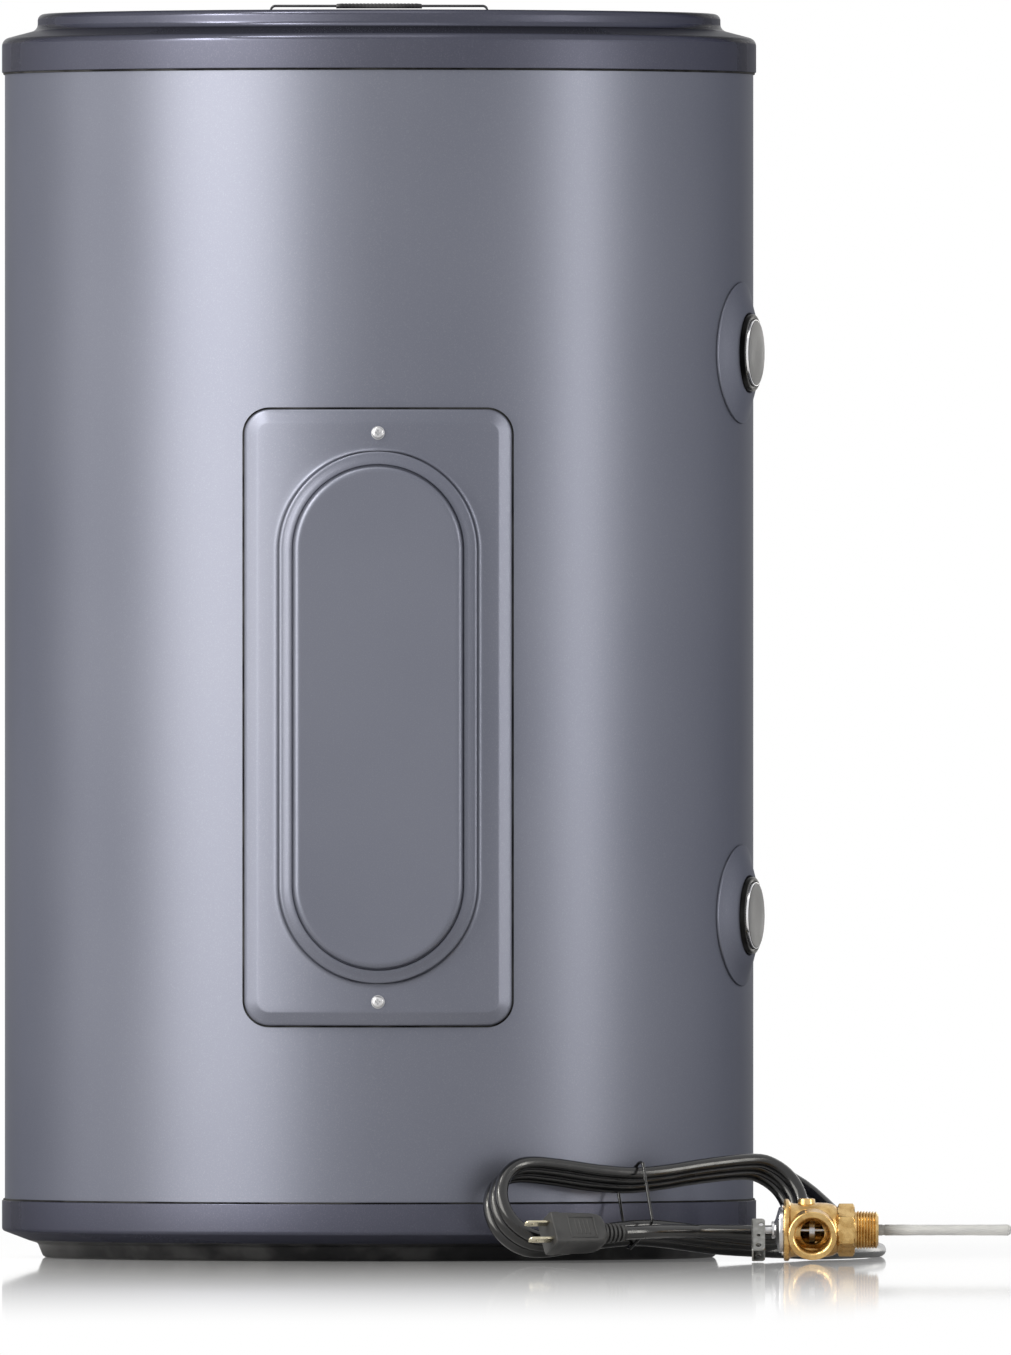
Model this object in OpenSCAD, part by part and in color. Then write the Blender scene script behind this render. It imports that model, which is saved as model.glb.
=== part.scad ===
// Electric storage water heater: a foam-insulated steel tank in a round jacket, with a
// lift-up handle in its lid, a front access cover over the element and the thermostat,
// two capped water ports on its side, a tied mains cord and a loose relief valve.
// Millimetres. +Z is up, -Y is the front, and the origin is the centre of the underside.

/* [Cabinet] */
// Gap between the tank and the jacket's outside, mostly filled with foam
foam_t = 38; // [37:1:46]
// Height of the top plate above the floor
body_h = 870; // [850:10:1000]
// Thickness of the jacket sheet
jacket_t = 1; // [0.8:0.1:1.4]
// Thickness of the lid and base sheet
pan_t = 1.2; // [0.8:0.1:1.6]
// How far the lid and base rims stand out past the jacket
rim_lap = 2; // [1.8:0.1:3]
// Height of the base's top edge
base_h = 40; // [36:1:46]
// Height of the upright band round the base
band_h = 21; // [16:1:24]
// How far the foot is set in from the band
foot_inset = 29; // [24:1:34]
// Height of the lid from its lower edge to the top plate
lid_h = 41; // [36:1:46]
// Height of the lid's upright rim
lid_rim_h = 17; // [12:1:18]
// Width of the folded seam down the back of the jacket
seam_w = 14; // [8:1:20]

/* [Tank] */
// Outer diameter of the inner tank
tank_d = 448; // [430:2:480]
// Wall of the inner tank
tank_t = 2; // [1.6:0.2:3]
// Height of the tank's lower edge above the floor
tank_z0 = 46; // [44:1:52]
// Rise of the domed top head
head_rise = 50; // [40:1:52]
// Gap between the top head and the top plate
head_room = 48; // [46:1:60]
// Rise of the bottom head, which is dished upwards
dish_rise = 34; // [20:1:40]
// Diameter of the anode rod
anode_d = 19; // [16:1:21]
// Length of the anode rod
anode_l = 640; // [400:10:650]

/* [Handle] */
// Width of the handle over its legs
handle_w = 153; // [120:1:180]
// Width of the handle's strap, front to back
strap_w = 20; // [14:1:26]
// Thickness of the strap
strap_t = 1.5; // [1.2:0.1:2.2]
// Height of the strap's top above the top plate when the handle is down
handle_rise = 6.6; // [6.4:0.1:12]
// Length of the legs below the top plate
leg_drop = 42; // [36:1:43]
// Length of the grip on the strap
grip_l = 60; // [40:1:90]
// Thickness of the grip wall
grip_t = 0.9; // [0.6:0.1:1.2]

/* [Access cover] */
// Width of the access cover
cover_w = 186; // [170:1:200]
// Height of the access cover
cover_l = 428; // [410:1:440]
// Height of the cover's centre above the floor
cover_z = 378; // [370:1:400]
// How far the cover's plate stands out from the jacket
cover_rise = 8; // [6:0.5:12]
// Thickness of the cover
cover_t = 1.4; // [1:0.1:2]
// Width of the raised panel
panel_w = 138; // [120:1:146]
// Distance from the cover's ends to the raised panel's ends
panel_margin = 29; // [26:1:38]
// How far the raised panel stands out from the plate
panel_rise = 14; // [8:1:20]
// Distance from the cover's ends to its screws
screw_inset = 16.5; // [14:0.5:18]

/* [Controls] */
// Height of the heating element
element_z = 275; // [265:1:285]
// Reach of the heating element into the tank
element_reach = 310; // [200:10:330]
// Height of the thermostat's centre
thermostat_z = 385; // [380:1:392]
// Height of the limit switch's centre
limit_z = 465; // [460:1:475]
// Width of the two control bodies
control_w = 50; // [44:1:52]
// Depth of the two control bodies
control_depth = 18; // [16:1:20]
// Diameter of the thermostat dial
dial_d = 22; // [16:1:26]
// Diameter of the reset button
button_d = 8; // [6:0.5:10]
// Travel of the reset button
button_travel = 2; // [1:0.1:2.2]

/* [Ports] */
// Direction of the two water ports, in degrees round from the front to the right
port_azimuth = 75; // [70:1:90]
// Height of the hot outlet
hot_z = 632.5; // [600:0.5:680]
// Height of the cold inlet
cold_z = 239.5; // [220:0.5:260]
// Bore of the pipe sockets
socket_d = 24.2; // [22:0.1:25]
// Outer diameter of the pipe sockets
socket_od = 34; // [31:1:38]
// Diameter of the round collars
collar_d = 99; // [90:1:110]
// Rise of the round collars
collar_rise = 6.5; // [4:0.5:8]
// Diameter of the port caps
cap_d = 46; // [42:1:50]
// Distance from the jacket to the port caps' faces
cap_rise = 13; // [10:0.5:16]
// Distance of the relief valve's socket below the top of the tank's wall
relief_drop = 72; // [50:1:110]
// Height of the cold dip tube's end above the tank's lower edge
cold_rise = 84; // [70:1:110]
// Distance of the hot tube's end below the top of the tank's wall
hot_drop = 20; // [10:1:40]
// Height of the drain valve
drain_z = 88; // [84:1:100]

/* [Relief valve] */
// Distance from the valve's lever to the end of its thread
valve_l = 88; // [84:1:96]
// Diameter of the valve's body
valve_d = 38; // [36:1:40]
// Diameter of the valve's inlet thread
valve_thread_d = 26.7; // [24:0.1:28]
// Reach of the valve's outlet from its axis
outlet_reach = 36; // [32:1:40]
// Length of the lever
lever_l = 34; // [28:1:34]
// Diameter of the temperature probe
probe_d = 7.8; // [6:0.1:9]
// Length of the temperature probe outside the thread
probe_l = 93; // [60:1:93]

/* [Cord] */
// Diameter of the mains cord
cord_d = 9.5; // [8:0.1:10]
// Length of the tied hank
hank_l = 242; // [230:1:260]
// Height of the hank's two loops
hank_w = 67; // [66:1:80]
// Number of turns in the hank
hank_turns = 3; // [2:1:4]
// Lean of the hank from upright, in degrees
hank_lean = 28; // [20:1:40]

/* [Hidden] */

$fn = 96;
// Gap between pieces that only lie close to each other
gap = 0.3;
// Radial clearance of a pin, shaft or stem in its own bore
running = 0.05;
// Overshoot of a cutting solid past the face that it cuts
over = 1;

jacket_d = tank_d + 2 * foam_t;
jacket_r = jacket_d / 2;
jacket_in = jacket_r - jacket_t;
rim_r = jacket_r + rim_lap;
tank_r = tank_d / 2;
tank_in = tank_r - tank_t;
lid_z = body_h - lid_h;
band_z = base_h - band_h;
foot_r = rim_r - foot_inset;
shell_top = body_h - head_room - head_rise;
relief_z = shell_top - relief_drop;
panel_l = cover_l - 2 * panel_margin;
screw_span = cover_l - 2 * screw_inset;
jacket_z0 = band_z + pan_t + gap;
jacket_z1 = lid_z + lid_rim_h - gap;

// ---- Shared shapes ----

function arc(x, y, r, from, to, steps) =
  [for (i = [0 : steps]) let (a = from + (to - from) * i / steps) [x + r * cos(a), y + r * sin(a)]];

function unit(v) = v / norm(v);

module tube(r_in, r_out, z0, z1) {
  translate([0, 0, z0]) difference() {
    cylinder(r = r_out, h = z1 - z0);
    translate([0, 0, -over]) cylinder(r = r_in, h = z1 - z0 + 2 * over);
  }
}

// Upright cylinder from z0 to z1 about the tank's axis
module drum(r, z0, z1) {
  translate([0, 0, z0]) cylinder(r = r, h = z1 - z0);
}

// Flat shape in X and Z, from near to far in front of the axis
module front_prism(near, far) {
  translate([0, -near, 0]) rotate([90, 0, 0]) linear_extrude(far - near) children();
}

module round_rect(w, h, r) {
  square([w - 2 * r, h], center = true);
  square([w, h - 2 * r], center = true);
  for (x = [-1, 1], y = [-1, 1]) translate([x * (w / 2 - r), y * (h / 2 - r)]) circle(r);
}

module stadium(w, h) {
  square([w, h - w], center = true);
  for (y = [-1, 1]) translate([0, y * (h - w) / 2]) circle(w / 2);
}

// Frame whose +Z points outwards from the tank's axis, starting at radius r0
module outward(azimuth, z, r0 = 0) {
  rotate([0, 0, azimuth - 90]) translate([r0, 0, z]) rotate([0, 90, 0]) children();
}

// Round bar from radius r0 to r1 along a line outwards
module spoke(azimuth, z, r, r0, r1) {
  outward(azimuth, z, r0) cylinder(r = r, h = r1 - r0);
}

// Round bar between two points
module rod(a, b, r) {
  d = b - a;
  translate(a) rotate([0, acos(d.z / norm(d)), atan2(d.y, d.x)]) cylinder(r = r, h = norm(d));
}

module wire(points, r) {
  for (i = [0 : len(points) - 2]) rod(points[i], points[i + 1], r);
  if (len(points) > 2) for (i = [1 : len(points) - 2]) translate(points[i]) sphere(r + joint);
}

// Smooth curve through chosen points, with three stations to each stretch
function blend(p, i, t) =
  let (a = p[max(i - 1, 0)], b = p[i], c = p[i + 1], d = p[min(i + 2, len(p) - 1)])
  0.5 * (2 * b + (c - a) * t + (2 * a - 5 * b + 4 * c - d) * t * t
    + (3 * b - a - 3 * c + d) * t * t * t);
function smooth(p) =
  concat([for (i = [0 : len(p) - 2], t = [0, 1/3, 2/3]) blend(p, i, t)], [p[len(p) - 1]]);
function heading(p, i) = unit(p[min(i + 1, len(p) - 1)] - p[max(i - 1, 0)]);

module sweep(p, r, sides) {
  rings = len(p);
  points = [for (i = [0 : rings - 1])
    let (t = heading(p, i), side = unit(cross([0, 0, 1], t)), up = cross(t, side))
    for (k = [0 : sides - 1]) p[i] + r * (cos(360 * k / sides) * side + sin(360 * k / sides) * up)];
  walls = [for (i = [0 : rings - 2], k = [0 : sides - 1])
    let (n = (k + 1) % sides)
    [i * sides + k, (i + 1) * sides + k, (i + 1) * sides + n, i * sides + n]];
  start = [for (k = [0 : sides - 1]) k];
  end = [for (k = [0 : sides - 1]) rings * sides - 1 - k];
  polyhedron(points, concat(walls, [start], [end]), convexity = 6);
}

// ---- Cabinet ----

foot_rise = 10;
foot_round = 4;
slate = [0.37, 0.38, 0.42];
paint = [0.55, 0.56, 0.61];

module base_pan() {
  foot_in = foot_r - pan_t;
  color(slate) rotate_extrude($fn = 180) polygon(concat(
    [[0, 0]],
    arc(foot_r - foot_round, foot_round, foot_round, -90, 0, 4),
    [[foot_r + foot_round, foot_rise], [rim_r - 1, band_z - 1], [rim_r, band_z], [rim_r, base_h],
     [rim_r - pan_t, base_h], [rim_r - pan_t, band_z + pan_t],
     [foot_r + foot_round - pan_t, foot_rise + pan_t], [foot_in, foot_round + pan_t],
     [foot_in - foot_round, pan_t], [0, pan_t]]));
}

module base_block() {
  foot_in = foot_r - pan_t;
  outer = jacket_in - gap;
  shoulder = foot_r + foot_round - pan_t - 1;
  color("whitesmoke") rotate_extrude($fn = 180) polygon([
    [0, pan_t], [foot_in - foot_round - 1, pan_t], [foot_in - 1, foot_round + pan_t + 1],
    [shoulder, foot_rise + pan_t + 1], [outer - 3, band_z + pan_t + gap],
    [outer, jacket_z0 + 2], [outer, tank_z0], [0, tank_z0]]);
}

opening_w = panel_w + 2;
opening_l = panel_l - 30;
screw_r = 2;

module jacket() {
  color(paint) difference() {
    tube(jacket_in, jacket_r, jacket_z0, jacket_z1, $fn = 180);
    translate([0, 0, cover_z]) front_prism(jacket_r - 60, jacket_r + over)
      round_rect(opening_w, opening_l, 20);
    cover_screw_places() cylinder(r = screw_r + gap, h = 60, center = true);
    for (z = [hot_z, cold_z]) spoke(port_azimuth, z, socket_od / 2 + gap, tank_r, jacket_r + over);
    spoke(relief_azimuth, relief_z, socket_od / 2 + gap, tank_r, jacket_r + over);
    spoke(drain_azimuth, drain_z, nipple_r + gap, tank_r, jacket_r + over);
    spoke(gland_azimuth, gland_z, gland_neck_r + gap, tank_r, jacket_r + over);
  }
}

seam_azimuth = 205;

module jacket_seam() {
  color(paint) intersection() {
    tube(jacket_r, jacket_r + 0.8, base_h + gap, lid_z - gap, $fn = 180);
    rotate([0, 0, seam_azimuth - 90]) translate([0, -seam_w / 2, 0]) cube([rim_r, seam_w, body_h]);
  }
}

// The lid's stepped edge, as distances in from the rim and down from the top plate
step_in = 25;
step_down = 8;
shelf_down = 10;
edge_round = 4;

module lid() {
  rim_top = lid_z + lid_rim_h;
  shelf_z = body_h - shelf_down;
  r_in = rim_r - pan_t;
  color(slate) difference() {
    rotate_extrude($fn = 180) polygon(concat(
      [[rim_r, lid_z]],
      arc(rim_r - 6, rim_top, 6, 0, 60, 4),
      [[rim_r - step_in + 4, shelf_z], [rim_r - step_in, shelf_z + 2]],
      arc(rim_r - step_in - edge_round, body_h - edge_round, edge_round, 0, 90, 4),
      [[0, body_h], [0, body_h - pan_t], [rim_r - step_in - edge_round, body_h - pan_t],
       [rim_r - step_in - pan_t, body_h - edge_round], [rim_r - step_in - pan_t, shelf_z],
       [rim_r - step_in + 4, shelf_z - pan_t], [rim_r - 4, rim_top + 2], [r_in, rim_top],
       [r_in, lid_z]]));
    handle_slots(body_h - pan_t - over, body_h + over);
  }
}

module top_pad() {
  pad_r = tank_r - gap;
  under = dome(tank_r + gap, head_rise + gap, shell_top + gap);
  color("khaki") difference() {
    rotate_extrude($fn = 180) polygon(concat(
      [for (i = [12 : -1 : 1]) under[i]],
      [[pad_r, under[1].y], [pad_r, body_h - pan_t - gap], [0, body_h - pan_t - gap]]));
    for (side = [-1, 1])
      translate([side * leg_x, 0, body_h])
        cube([guide_w + 4, strap_w + 14, 2 * head_room + 40], center = true);
    translate([anode_x, anode_y, shell_top]) cylinder(r = anode_hex_r + 2, h = head_rise + 14);
  }
}

module side_foam() {
  foam_r = jacket_in - gap;
  foam_top = jacket_z1 - 2;
  color("khaki") difference() {
    tube(tank_r + gap, foam_r, tank_z0, foam_top, $fn = 180);
    translate([0, 0, cover_z]) front_prism(tank_r - 60, jacket_r)
      round_rect(liner_w + 2 * gap, liner_l + 2 * gap, 12);
    cover_screw_places() cylinder(r = clip_w, h = 2 * (jacket_r - tank_r - 12), center = true);
    for (z = [hot_z, cold_z]) spoke(port_azimuth, z, socket_od / 2 + gap, tank_in, jacket_r);
    spoke(relief_azimuth, relief_z, socket_od / 2 + gap, tank_in, jacket_r);
    spoke(drain_azimuth, drain_z, nipple_r + gap, tank_in, jacket_r);
    spoke(gland_azimuth, gland_z, gland_nut_r + 2, conduit_ring - 8, jacket_r);
    conduit(conduit_r + gap);
  }
}

// ---- Tank ----

module tank_shell() {
  color("steelblue") difference() {
    tube(tank_in, tank_r, tank_z0, shell_top, $fn = 180);
    for (z = [hot_z, cold_z]) spoke(port_azimuth, z, socket_od / 2 + running, 0, tank_r + over);
    spoke(relief_azimuth, relief_z, socket_od / 2 + running, 0, tank_r + over);
    spoke(drain_azimuth, drain_z, nipple_r + running, 0, tank_r + over);
    spoke(0, element_z, element_socket_r + running, 0, tank_r + over);
  }
}

function dome(r, rise, z, to = 90) =
  [for (i = [0 : 12]) let (a = to * i / 12) [r * cos(a), z + rise * sin(a)]];

anode_x = -60;
anode_y = 66;
anode_thread_r = 13.2;
anode_hex_r = 15.6;
anode_top = shell_top + head_rise * sqrt(1 - pow(norm([anode_x, anode_y]) / tank_r, 2)) + 1.8;

module tank_top_head() {
  color("steelblue") difference() {
    rotate_extrude($fn = 180) polygon(concat(
      dome(tank_r, head_rise, shell_top),
      [for (i = [12 : -1 : 0]) dome(tank_in, head_rise - tank_t, shell_top)[i]]));
    translate([anode_x, anode_y, shell_top]) cylinder(r = anode_thread_r + running, h = head_rise + over);
  }
}

module tank_bottom_head() {
  skirt = 14;
  r = tank_in - running;
  color("steelblue") rotate_extrude($fn = 180) polygon(concat(
    [[r, tank_z0]],
    dome(r, dish_rise, tank_z0 + skirt),
    [for (i = [12 : -1 : 0]) dome(r - tank_t, dish_rise - tank_t, tank_z0 + skirt)[i]],
    [[r - tank_t, tank_z0]]));
}

module anode_plug() {
  color("silver") translate([anode_x, anode_y, anode_top]) {
    cylinder(r = anode_hex_r, h = 8, $fn = 6);
    translate([0, 0, -14]) cylinder(r = anode_thread_r, h = 14);
  }
}

module anode_rod() {
  color("lightgray") translate([anode_x, anode_y, anode_top - 14 - anode_l])
    cylinder(d = anode_d, h = anode_l);
}

// ---- Handle ----

leg_x = (handle_w - strap_t) / 2;
guide_w = 10;
guide_h = 5;
foot_t = 3;
handle_top = body_h + handle_rise;
handle_bend = 4;

module handle_slots(z0, z1) {
  for (side = [-1, 1]) translate([side * leg_x, 0, (z0 + z1) / 2])
    cube([strap_t + 2 * gap, strap_w + 2 * gap, z1 - z0], center = true);
}

module handle_guides() {
  z1 = body_h - pan_t;
  color("dimgray") difference() {
    for (side = [-1, 1]) translate([side * leg_x, 0, z1 - guide_h / 2])
      cube([guide_w, strap_w + 10, guide_h], center = true);
    handle_slots(z1 - guide_h - over, z1 + over);
  }
}

module bent_outline(w, top, bottom, r) {
  translate([-w / 2, bottom]) square([w, top - bottom - r]);
  translate([-w / 2 + r, bottom]) square([w - 2 * r, top - bottom]);
  for (side = [-1, 1]) translate([side * (w / 2 - r), top - r]) circle(r);
}

module handle_bar() {
  bottom = body_h - leg_drop;
  color("gray") front_prism(-strap_w / 2, strap_w / 2) difference() {
    bent_outline(handle_w, handle_top, bottom, handle_bend);
    bent_outline(handle_w - 2 * strap_t, handle_top - strap_t, bottom - over, handle_bend - strap_t);
  }
}

module handle_grip() {
  chamfer = 4;
  h = strap_t + 2 * grip_t;
  color("black") translate([0, 0, handle_top - strap_t / 2]) difference() {
    front_prism(-strap_w / 2 - grip_t, strap_w / 2 + grip_t) polygon([
      [-grip_l / 2, -h / 2], [grip_l / 2, -h / 2], [grip_l / 2, 0], [grip_l / 2 - chamfer, h / 2],
      [-grip_l / 2 + chamfer, h / 2], [-grip_l / 2, 0]]);
    cube([grip_l + over, strap_w, strap_t], center = true);
  }
}

module handle_stops() {
  color("gray") for (side = [-1, 1])
    translate([side * leg_x, 0, body_h - leg_drop - foot_t / 2])
      cube([guide_w - 2, strap_w + 4, foot_t], center = true);
}

// ---- Access cover ----

plate_r = jacket_r + cover_rise;
cover_round = 17.5;
lip = 10;
lip_rise = 3;
panel_face = plate_r + panel_rise;
clip_w = 9;

module cover_screw_places() {
  for (side = [-1, 1])
    translate([0, -jacket_r, cover_z + side * screw_span / 2]) rotate([90, 0, 0]) children();
}

// The cover's outside, or its inside when shrunk by the sheet's thickness
module cover_form(t) {
  translate([0, 0, cover_z]) {
    intersection() {
      translate([0, 0, -cover_l]) cylinder(r = plate_r - t, h = 2 * cover_l, $fn = 180);
      front_prism(jacket_r / 2, plate_r + over)
        round_rect(cover_w - 2 * t, cover_l - 2 * t, cover_round - t);
    }
    front_prism(jacket_r / 2, plate_r + lip_rise - t) stadium(panel_w - 2 * t, panel_l - 2 * t);
    front_prism(jacket_r / 2, panel_face - t)
      stadium(panel_w - 2 * lip - 2 * t, panel_l - 2 * lip - 2 * t);
  }
}

module access_cover() {
  color(paint) difference() {
    cover_form(0);
    cover_form(cover_t);
    drum(jacket_r + gap, 0, body_h, $fn = 180);
    cover_screw_places() cylinder(r = screw_r + gap, h = 60, center = true);
  }
}

module cover_screws() {
  color("silver") cover_screw_places() {
    translate([0, 0, cover_rise]) cylinder(r1 = 4.5, r2 = 3.4, h = 2.6);
    translate([0, 0, -8]) cylinder(r = screw_r, h = cover_rise + 8);
  }
}

module cover_clips() {
  color("dimgray") cover_screw_places() translate([0, 0, -jacket_t - gap - 3]) difference() {
    translate([-clip_w / 2, -clip_w / 2, 0]) cube([clip_w, clip_w, 3]);
    translate([0, 0, -over]) cylinder(r = screw_r + running, h = 3 + 2 * over);
  }
}

module cover_pad() {
  pad_t = 6;
  face = panel_face - cover_t;
  color("dimgray") translate([0, 0, cover_z]) front_prism(face - pad_t, face)
    stadium(panel_w - 2 * lip - 2 * cover_t - 4, panel_l - 2 * lip - 2 * cover_t - 4);
}

liner_w = opening_w + 6;
liner_l = opening_l + 6;
liner_t = 3;

module access_liner() {
  color("white") difference() {
    intersection() {
      translate([0, 0, cover_z]) front_prism(tank_r - 40, jacket_r) round_rect(liner_w, liner_l, 12);
      drum(jacket_in - gap, 0, body_h, $fn = 180);
    }
    drum(tank_r + gap, 0, body_h, $fn = 180);
    translate([0, 0, cover_z]) front_prism(tank_r - 60, jacket_r)
      round_rect(liner_w - 2 * liner_t, liner_l - 2 * liner_t, 9);
    conduit(conduit_r + gap);
  }
}

// ---- Water ports ----

relief_azimuth = 150;
drain_azimuth = 180;
socket_end = jacket_r + 4;
cap_face = jacket_r + cap_rise;
ring_t = 3.7;

module socket(azimuth, z, end) {
  color("goldenrod") difference() {
    spoke(azimuth, z, socket_od / 2, tank_in, end);
    spoke(azimuth, z, socket_d / 2, tank_in - 20, end + over);
  }
}

// Dip tube: out of the socket's bore into the tank, then up or down to z_end
module dip_tube(z, z_end) {
  r_out = 9;
  r_in = 7.5;
  inner = tank_in - 72;
  bend = 12;
  seat = 6;
  color("white") rotate([0, 0, port_azimuth - 90]) difference() {
    union() {
      translate([inner, 0, z]) rotate([0, 90, 0]) cylinder(r = r_out, h = tank_in + bend - inner);
      translate([inner, 0, min(z, z_end)]) cylinder(r = r_out, h = abs(z_end - z));
      translate([inner, 0, z]) sphere(r_out + joint);
      translate([tank_in + bend - seat, 0, z]) rotate([0, 90, 0])
        cylinder(r = socket_d / 2 - running, h = seat);
    }
    translate([inner, 0, z]) rotate([0, 90, 0]) cylinder(r = r_in, h = tank_in + bend - inner + over);
    translate([inner, 0, min(z, z_end) - (z_end < z ? over : 0)])
      cylinder(r = r_in, h = abs(z_end - z) + over);
    translate([inner, 0, z]) sphere(r_in);
  }
}

// Round collar on the jacket: a skin that follows it, and a shallow cone
module collar(azimuth, z, d, rise, hole) {
  color(paint) difference() {
    union() {
      intersection() {
        drum(jacket_r + 1.5, z - d, z + d, $fn = 180);
        spoke(azimuth, z, d / 2, tank_r, jacket_r + over * 4);
      }
      outward(azimuth, z) rotate_extrude() polygon([[0, tank_r], [d / 2, tank_r],
        [d / 2, jacket_r], [hole + 2, jacket_r + rise], [0, jacket_r + rise]]);
    }
    drum(jacket_r + running, z - d, z + d, $fn = 180);
    spoke(azimuth, z, hole, 0, jacket_r + rise + over);
  }
}

module port_ring(z) {
  color("black") difference() {
    spoke(port_azimuth, z, cap_d / 2 + gap + ring_t, tank_r, jacket_r + collar_rise + 3);
    drum(jacket_r + running, z - cap_d, z + cap_d, $fn = 180);
    spoke(port_azimuth, z, cap_d / 2 + gap, 0, jacket_r + collar_rise + 4);
  }
}

module port_cap(z) {
  back = socket_end + gap;
  edge = 1;
  color("gray") {
    spoke(port_azimuth, z, cap_d / 2, back, cap_face - edge);
    outward(port_azimuth, z, cap_face - edge) cylinder(r1 = cap_d / 2, r2 = cap_d / 2 - edge, h = edge);
    spoke(port_azimuth, z, socket_d / 2 - running, back - 20, back);
  }
}

module hot_socket() { socket(port_azimuth, hot_z, socket_end); }
module cold_socket() { socket(port_azimuth, cold_z, socket_end); }
module hot_tube() { dip_tube(hot_z, shell_top - hot_drop); }
module cold_tube() { dip_tube(cold_z, tank_z0 + cold_rise); }
module hot_collar() { collar(port_azimuth, hot_z, collar_d, collar_rise, cap_d / 2 + 2 * gap + ring_t); }
module cold_collar() { collar(port_azimuth, cold_z, collar_d, collar_rise, cap_d / 2 + 2 * gap + ring_t); }
module hot_ring() { port_ring(hot_z); }
module cold_ring() { port_ring(cold_z); }
module hot_cap() { port_cap(hot_z); }
module cold_cap() { port_cap(cold_z); }
module relief_socket() { socket(relief_azimuth, relief_z, jacket_r + 8); }

relief_collar_d = 62;
drain_collar_d = 54;
rear_collar_rise = 4;

module rear_collars() {
  collar(relief_azimuth, relief_z, relief_collar_d, rear_collar_rise, socket_od / 2 + gap);
  collar(drain_azimuth, drain_z, drain_collar_d, rear_collar_rise, nipple_r + gap);
}

// ---- Drain valve ----

nipple_r = 13;
drain_reach = jacket_r + 20;
ball_r = 11;
drain_bore_r = 6.5;
stem_r = 3.5;
neck_h = 24;

module drain_body() {
  thread_end = drain_reach + 26;
  color("goldenrod") difference() {
    union() {
      spoke(drain_azimuth, drain_z, nipple_r, tank_in, jacket_r + 8);
      spoke(drain_azimuth, drain_z, 16, jacket_r + 6, drain_reach + 14);
      spoke(drain_azimuth, drain_z, 13.3, drain_reach + 12, thread_end);
      translate([0, drain_reach, drain_z]) cylinder(r = 7, h = neck_h);
    }
    spoke(drain_azimuth, drain_z, drain_bore_r, tank_in - 20, thread_end + over);
    translate([0, drain_reach, drain_z]) sphere(ball_r + running);
    translate([0, drain_reach, drain_z]) cylinder(r = stem_r + running, h = neck_h + over);
  }
}

module drain_ball() {
  color("silver") difference() {
    union() {
      translate([0, drain_reach, drain_z]) sphere(ball_r);
      translate([0, drain_reach, drain_z]) cylinder(r = stem_r, h = neck_h + 5);
    }
    translate([0, drain_reach, drain_z]) rotate([0, 90, 0]) cylinder(r = drain_bore_r, h = 40, center = true);
  }
}

module drain_lever() {
  lever_w = 12;
  reach = 38;
  color("firebrick") translate([0, drain_reach, drain_z + neck_h + gap]) difference() {
    union() {
      cylinder(d = lever_w + 4, h = 4.4);
      translate([0, -lever_w / 2, 0]) cube([reach - lever_w / 2, lever_w, 3]);
      translate([reach - lever_w / 2, 0, 0]) cylinder(d = lever_w, h = 3);
    }
    translate([0, 0, -over]) cylinder(r = stem_r + 0.01, h = 4.4 + 2 * over);
  }
}

// ---- Element and controls ----

element_socket_r = 25;
element_thread_r = 17;
socket_face = tank_r + 12;
gasket_t = 2;
hex_face = socket_face + gasket_t + 10;
control_back = tank_r + 2.2;
control_face = control_back + control_depth;

// Point at x and z, at distance f in front of the axis
function ahead(x, f, z) = [x, -f, z];

module element_socket() {
  color("steelblue") difference() {
    spoke(0, element_z, element_socket_r, tank_in, socket_face);
    spoke(0, element_z, element_thread_r + running, tank_in - 20, socket_face + over);
  }
}

module element_gasket() {
  color("black") difference() {
    spoke(0, element_z, element_socket_r - 1, socket_face, socket_face + gasket_t);
    spoke(0, element_z, element_thread_r + running, socket_face - over, socket_face + gasket_t + over);
  }
}

module element_plug() {
  color("silver") {
    outward(0, element_z, socket_face + gasket_t)
      cylinder(r = 22, h = hex_face - socket_face - gasket_t, $fn = 6);
    spoke(0, element_z, element_thread_r, tank_r - 10, socket_face + gasket_t);
  }
}

module element_loop() {
  leg_r = 4;
  half = 11;
  start = tank_r - 10;
  straight = element_reach - half;
  color("darkgray") {
    for (side = [-1, 1]) translate([0, -start, element_z + side * half]) rotate([-90, 0, 0])
      cylinder(r = leg_r, h = straight);
    translate([0, straight - start, element_z]) rotate([90, 0, 90]) rotate([0, 0, -90])
      rotate_extrude(angle = 180) translate([half, 0]) circle(leg_r);
  }
}

module control_bracket() {
  low = element_z - element_socket_r - 10;
  high = limit_z + 34;
  color("silver") difference() {
    translate([0, 0, (low + high) / 2]) front_prism(tank_r + 0.8, control_back)
      square([control_w + 6, high - low], center = true);
    spoke(0, element_z, element_socket_r + gap, 0, jacket_r);
  }
}

module control_case(z, h) {
  translate([0, 0, z]) front_prism(control_back, control_face) round_rect(control_w, h, 3);
}

dial_shaft_r = 3;

module thermostat_body() {
  color("saddlebrown") difference() {
    control_case(thermostat_z, 58);
    spoke(0, thermostat_z, dial_shaft_r + running, control_face - 11, control_face + over);
  }
}

module thermostat_dial() {
  color("white") difference() {
    union() {
      spoke(0, thermostat_z, dial_shaft_r, control_face - 10, control_face + 2);
      spoke(0, thermostat_z, dial_d / 2, control_face + gap, control_face + 6);
    }
    translate([0, 0, thermostat_z + dial_d / 3]) front_prism(control_face + 4.5, control_face + 7)
      square([2, dial_d / 2], center = true);
  }
}

module limit_body() {
  color("saddlebrown") difference() {
    control_case(limit_z, 56);
    spoke(0, limit_z, button_d / 2 + running, control_face - 9, control_face + over);
  }
}

module reset_button() {
  color("red") spoke(0, limit_z, button_d / 2, control_face - 6, control_face + 3);
}

terminal_x = control_w / 2 - 8;
terminal_up = 20;
terminal_h = 2.5;

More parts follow.
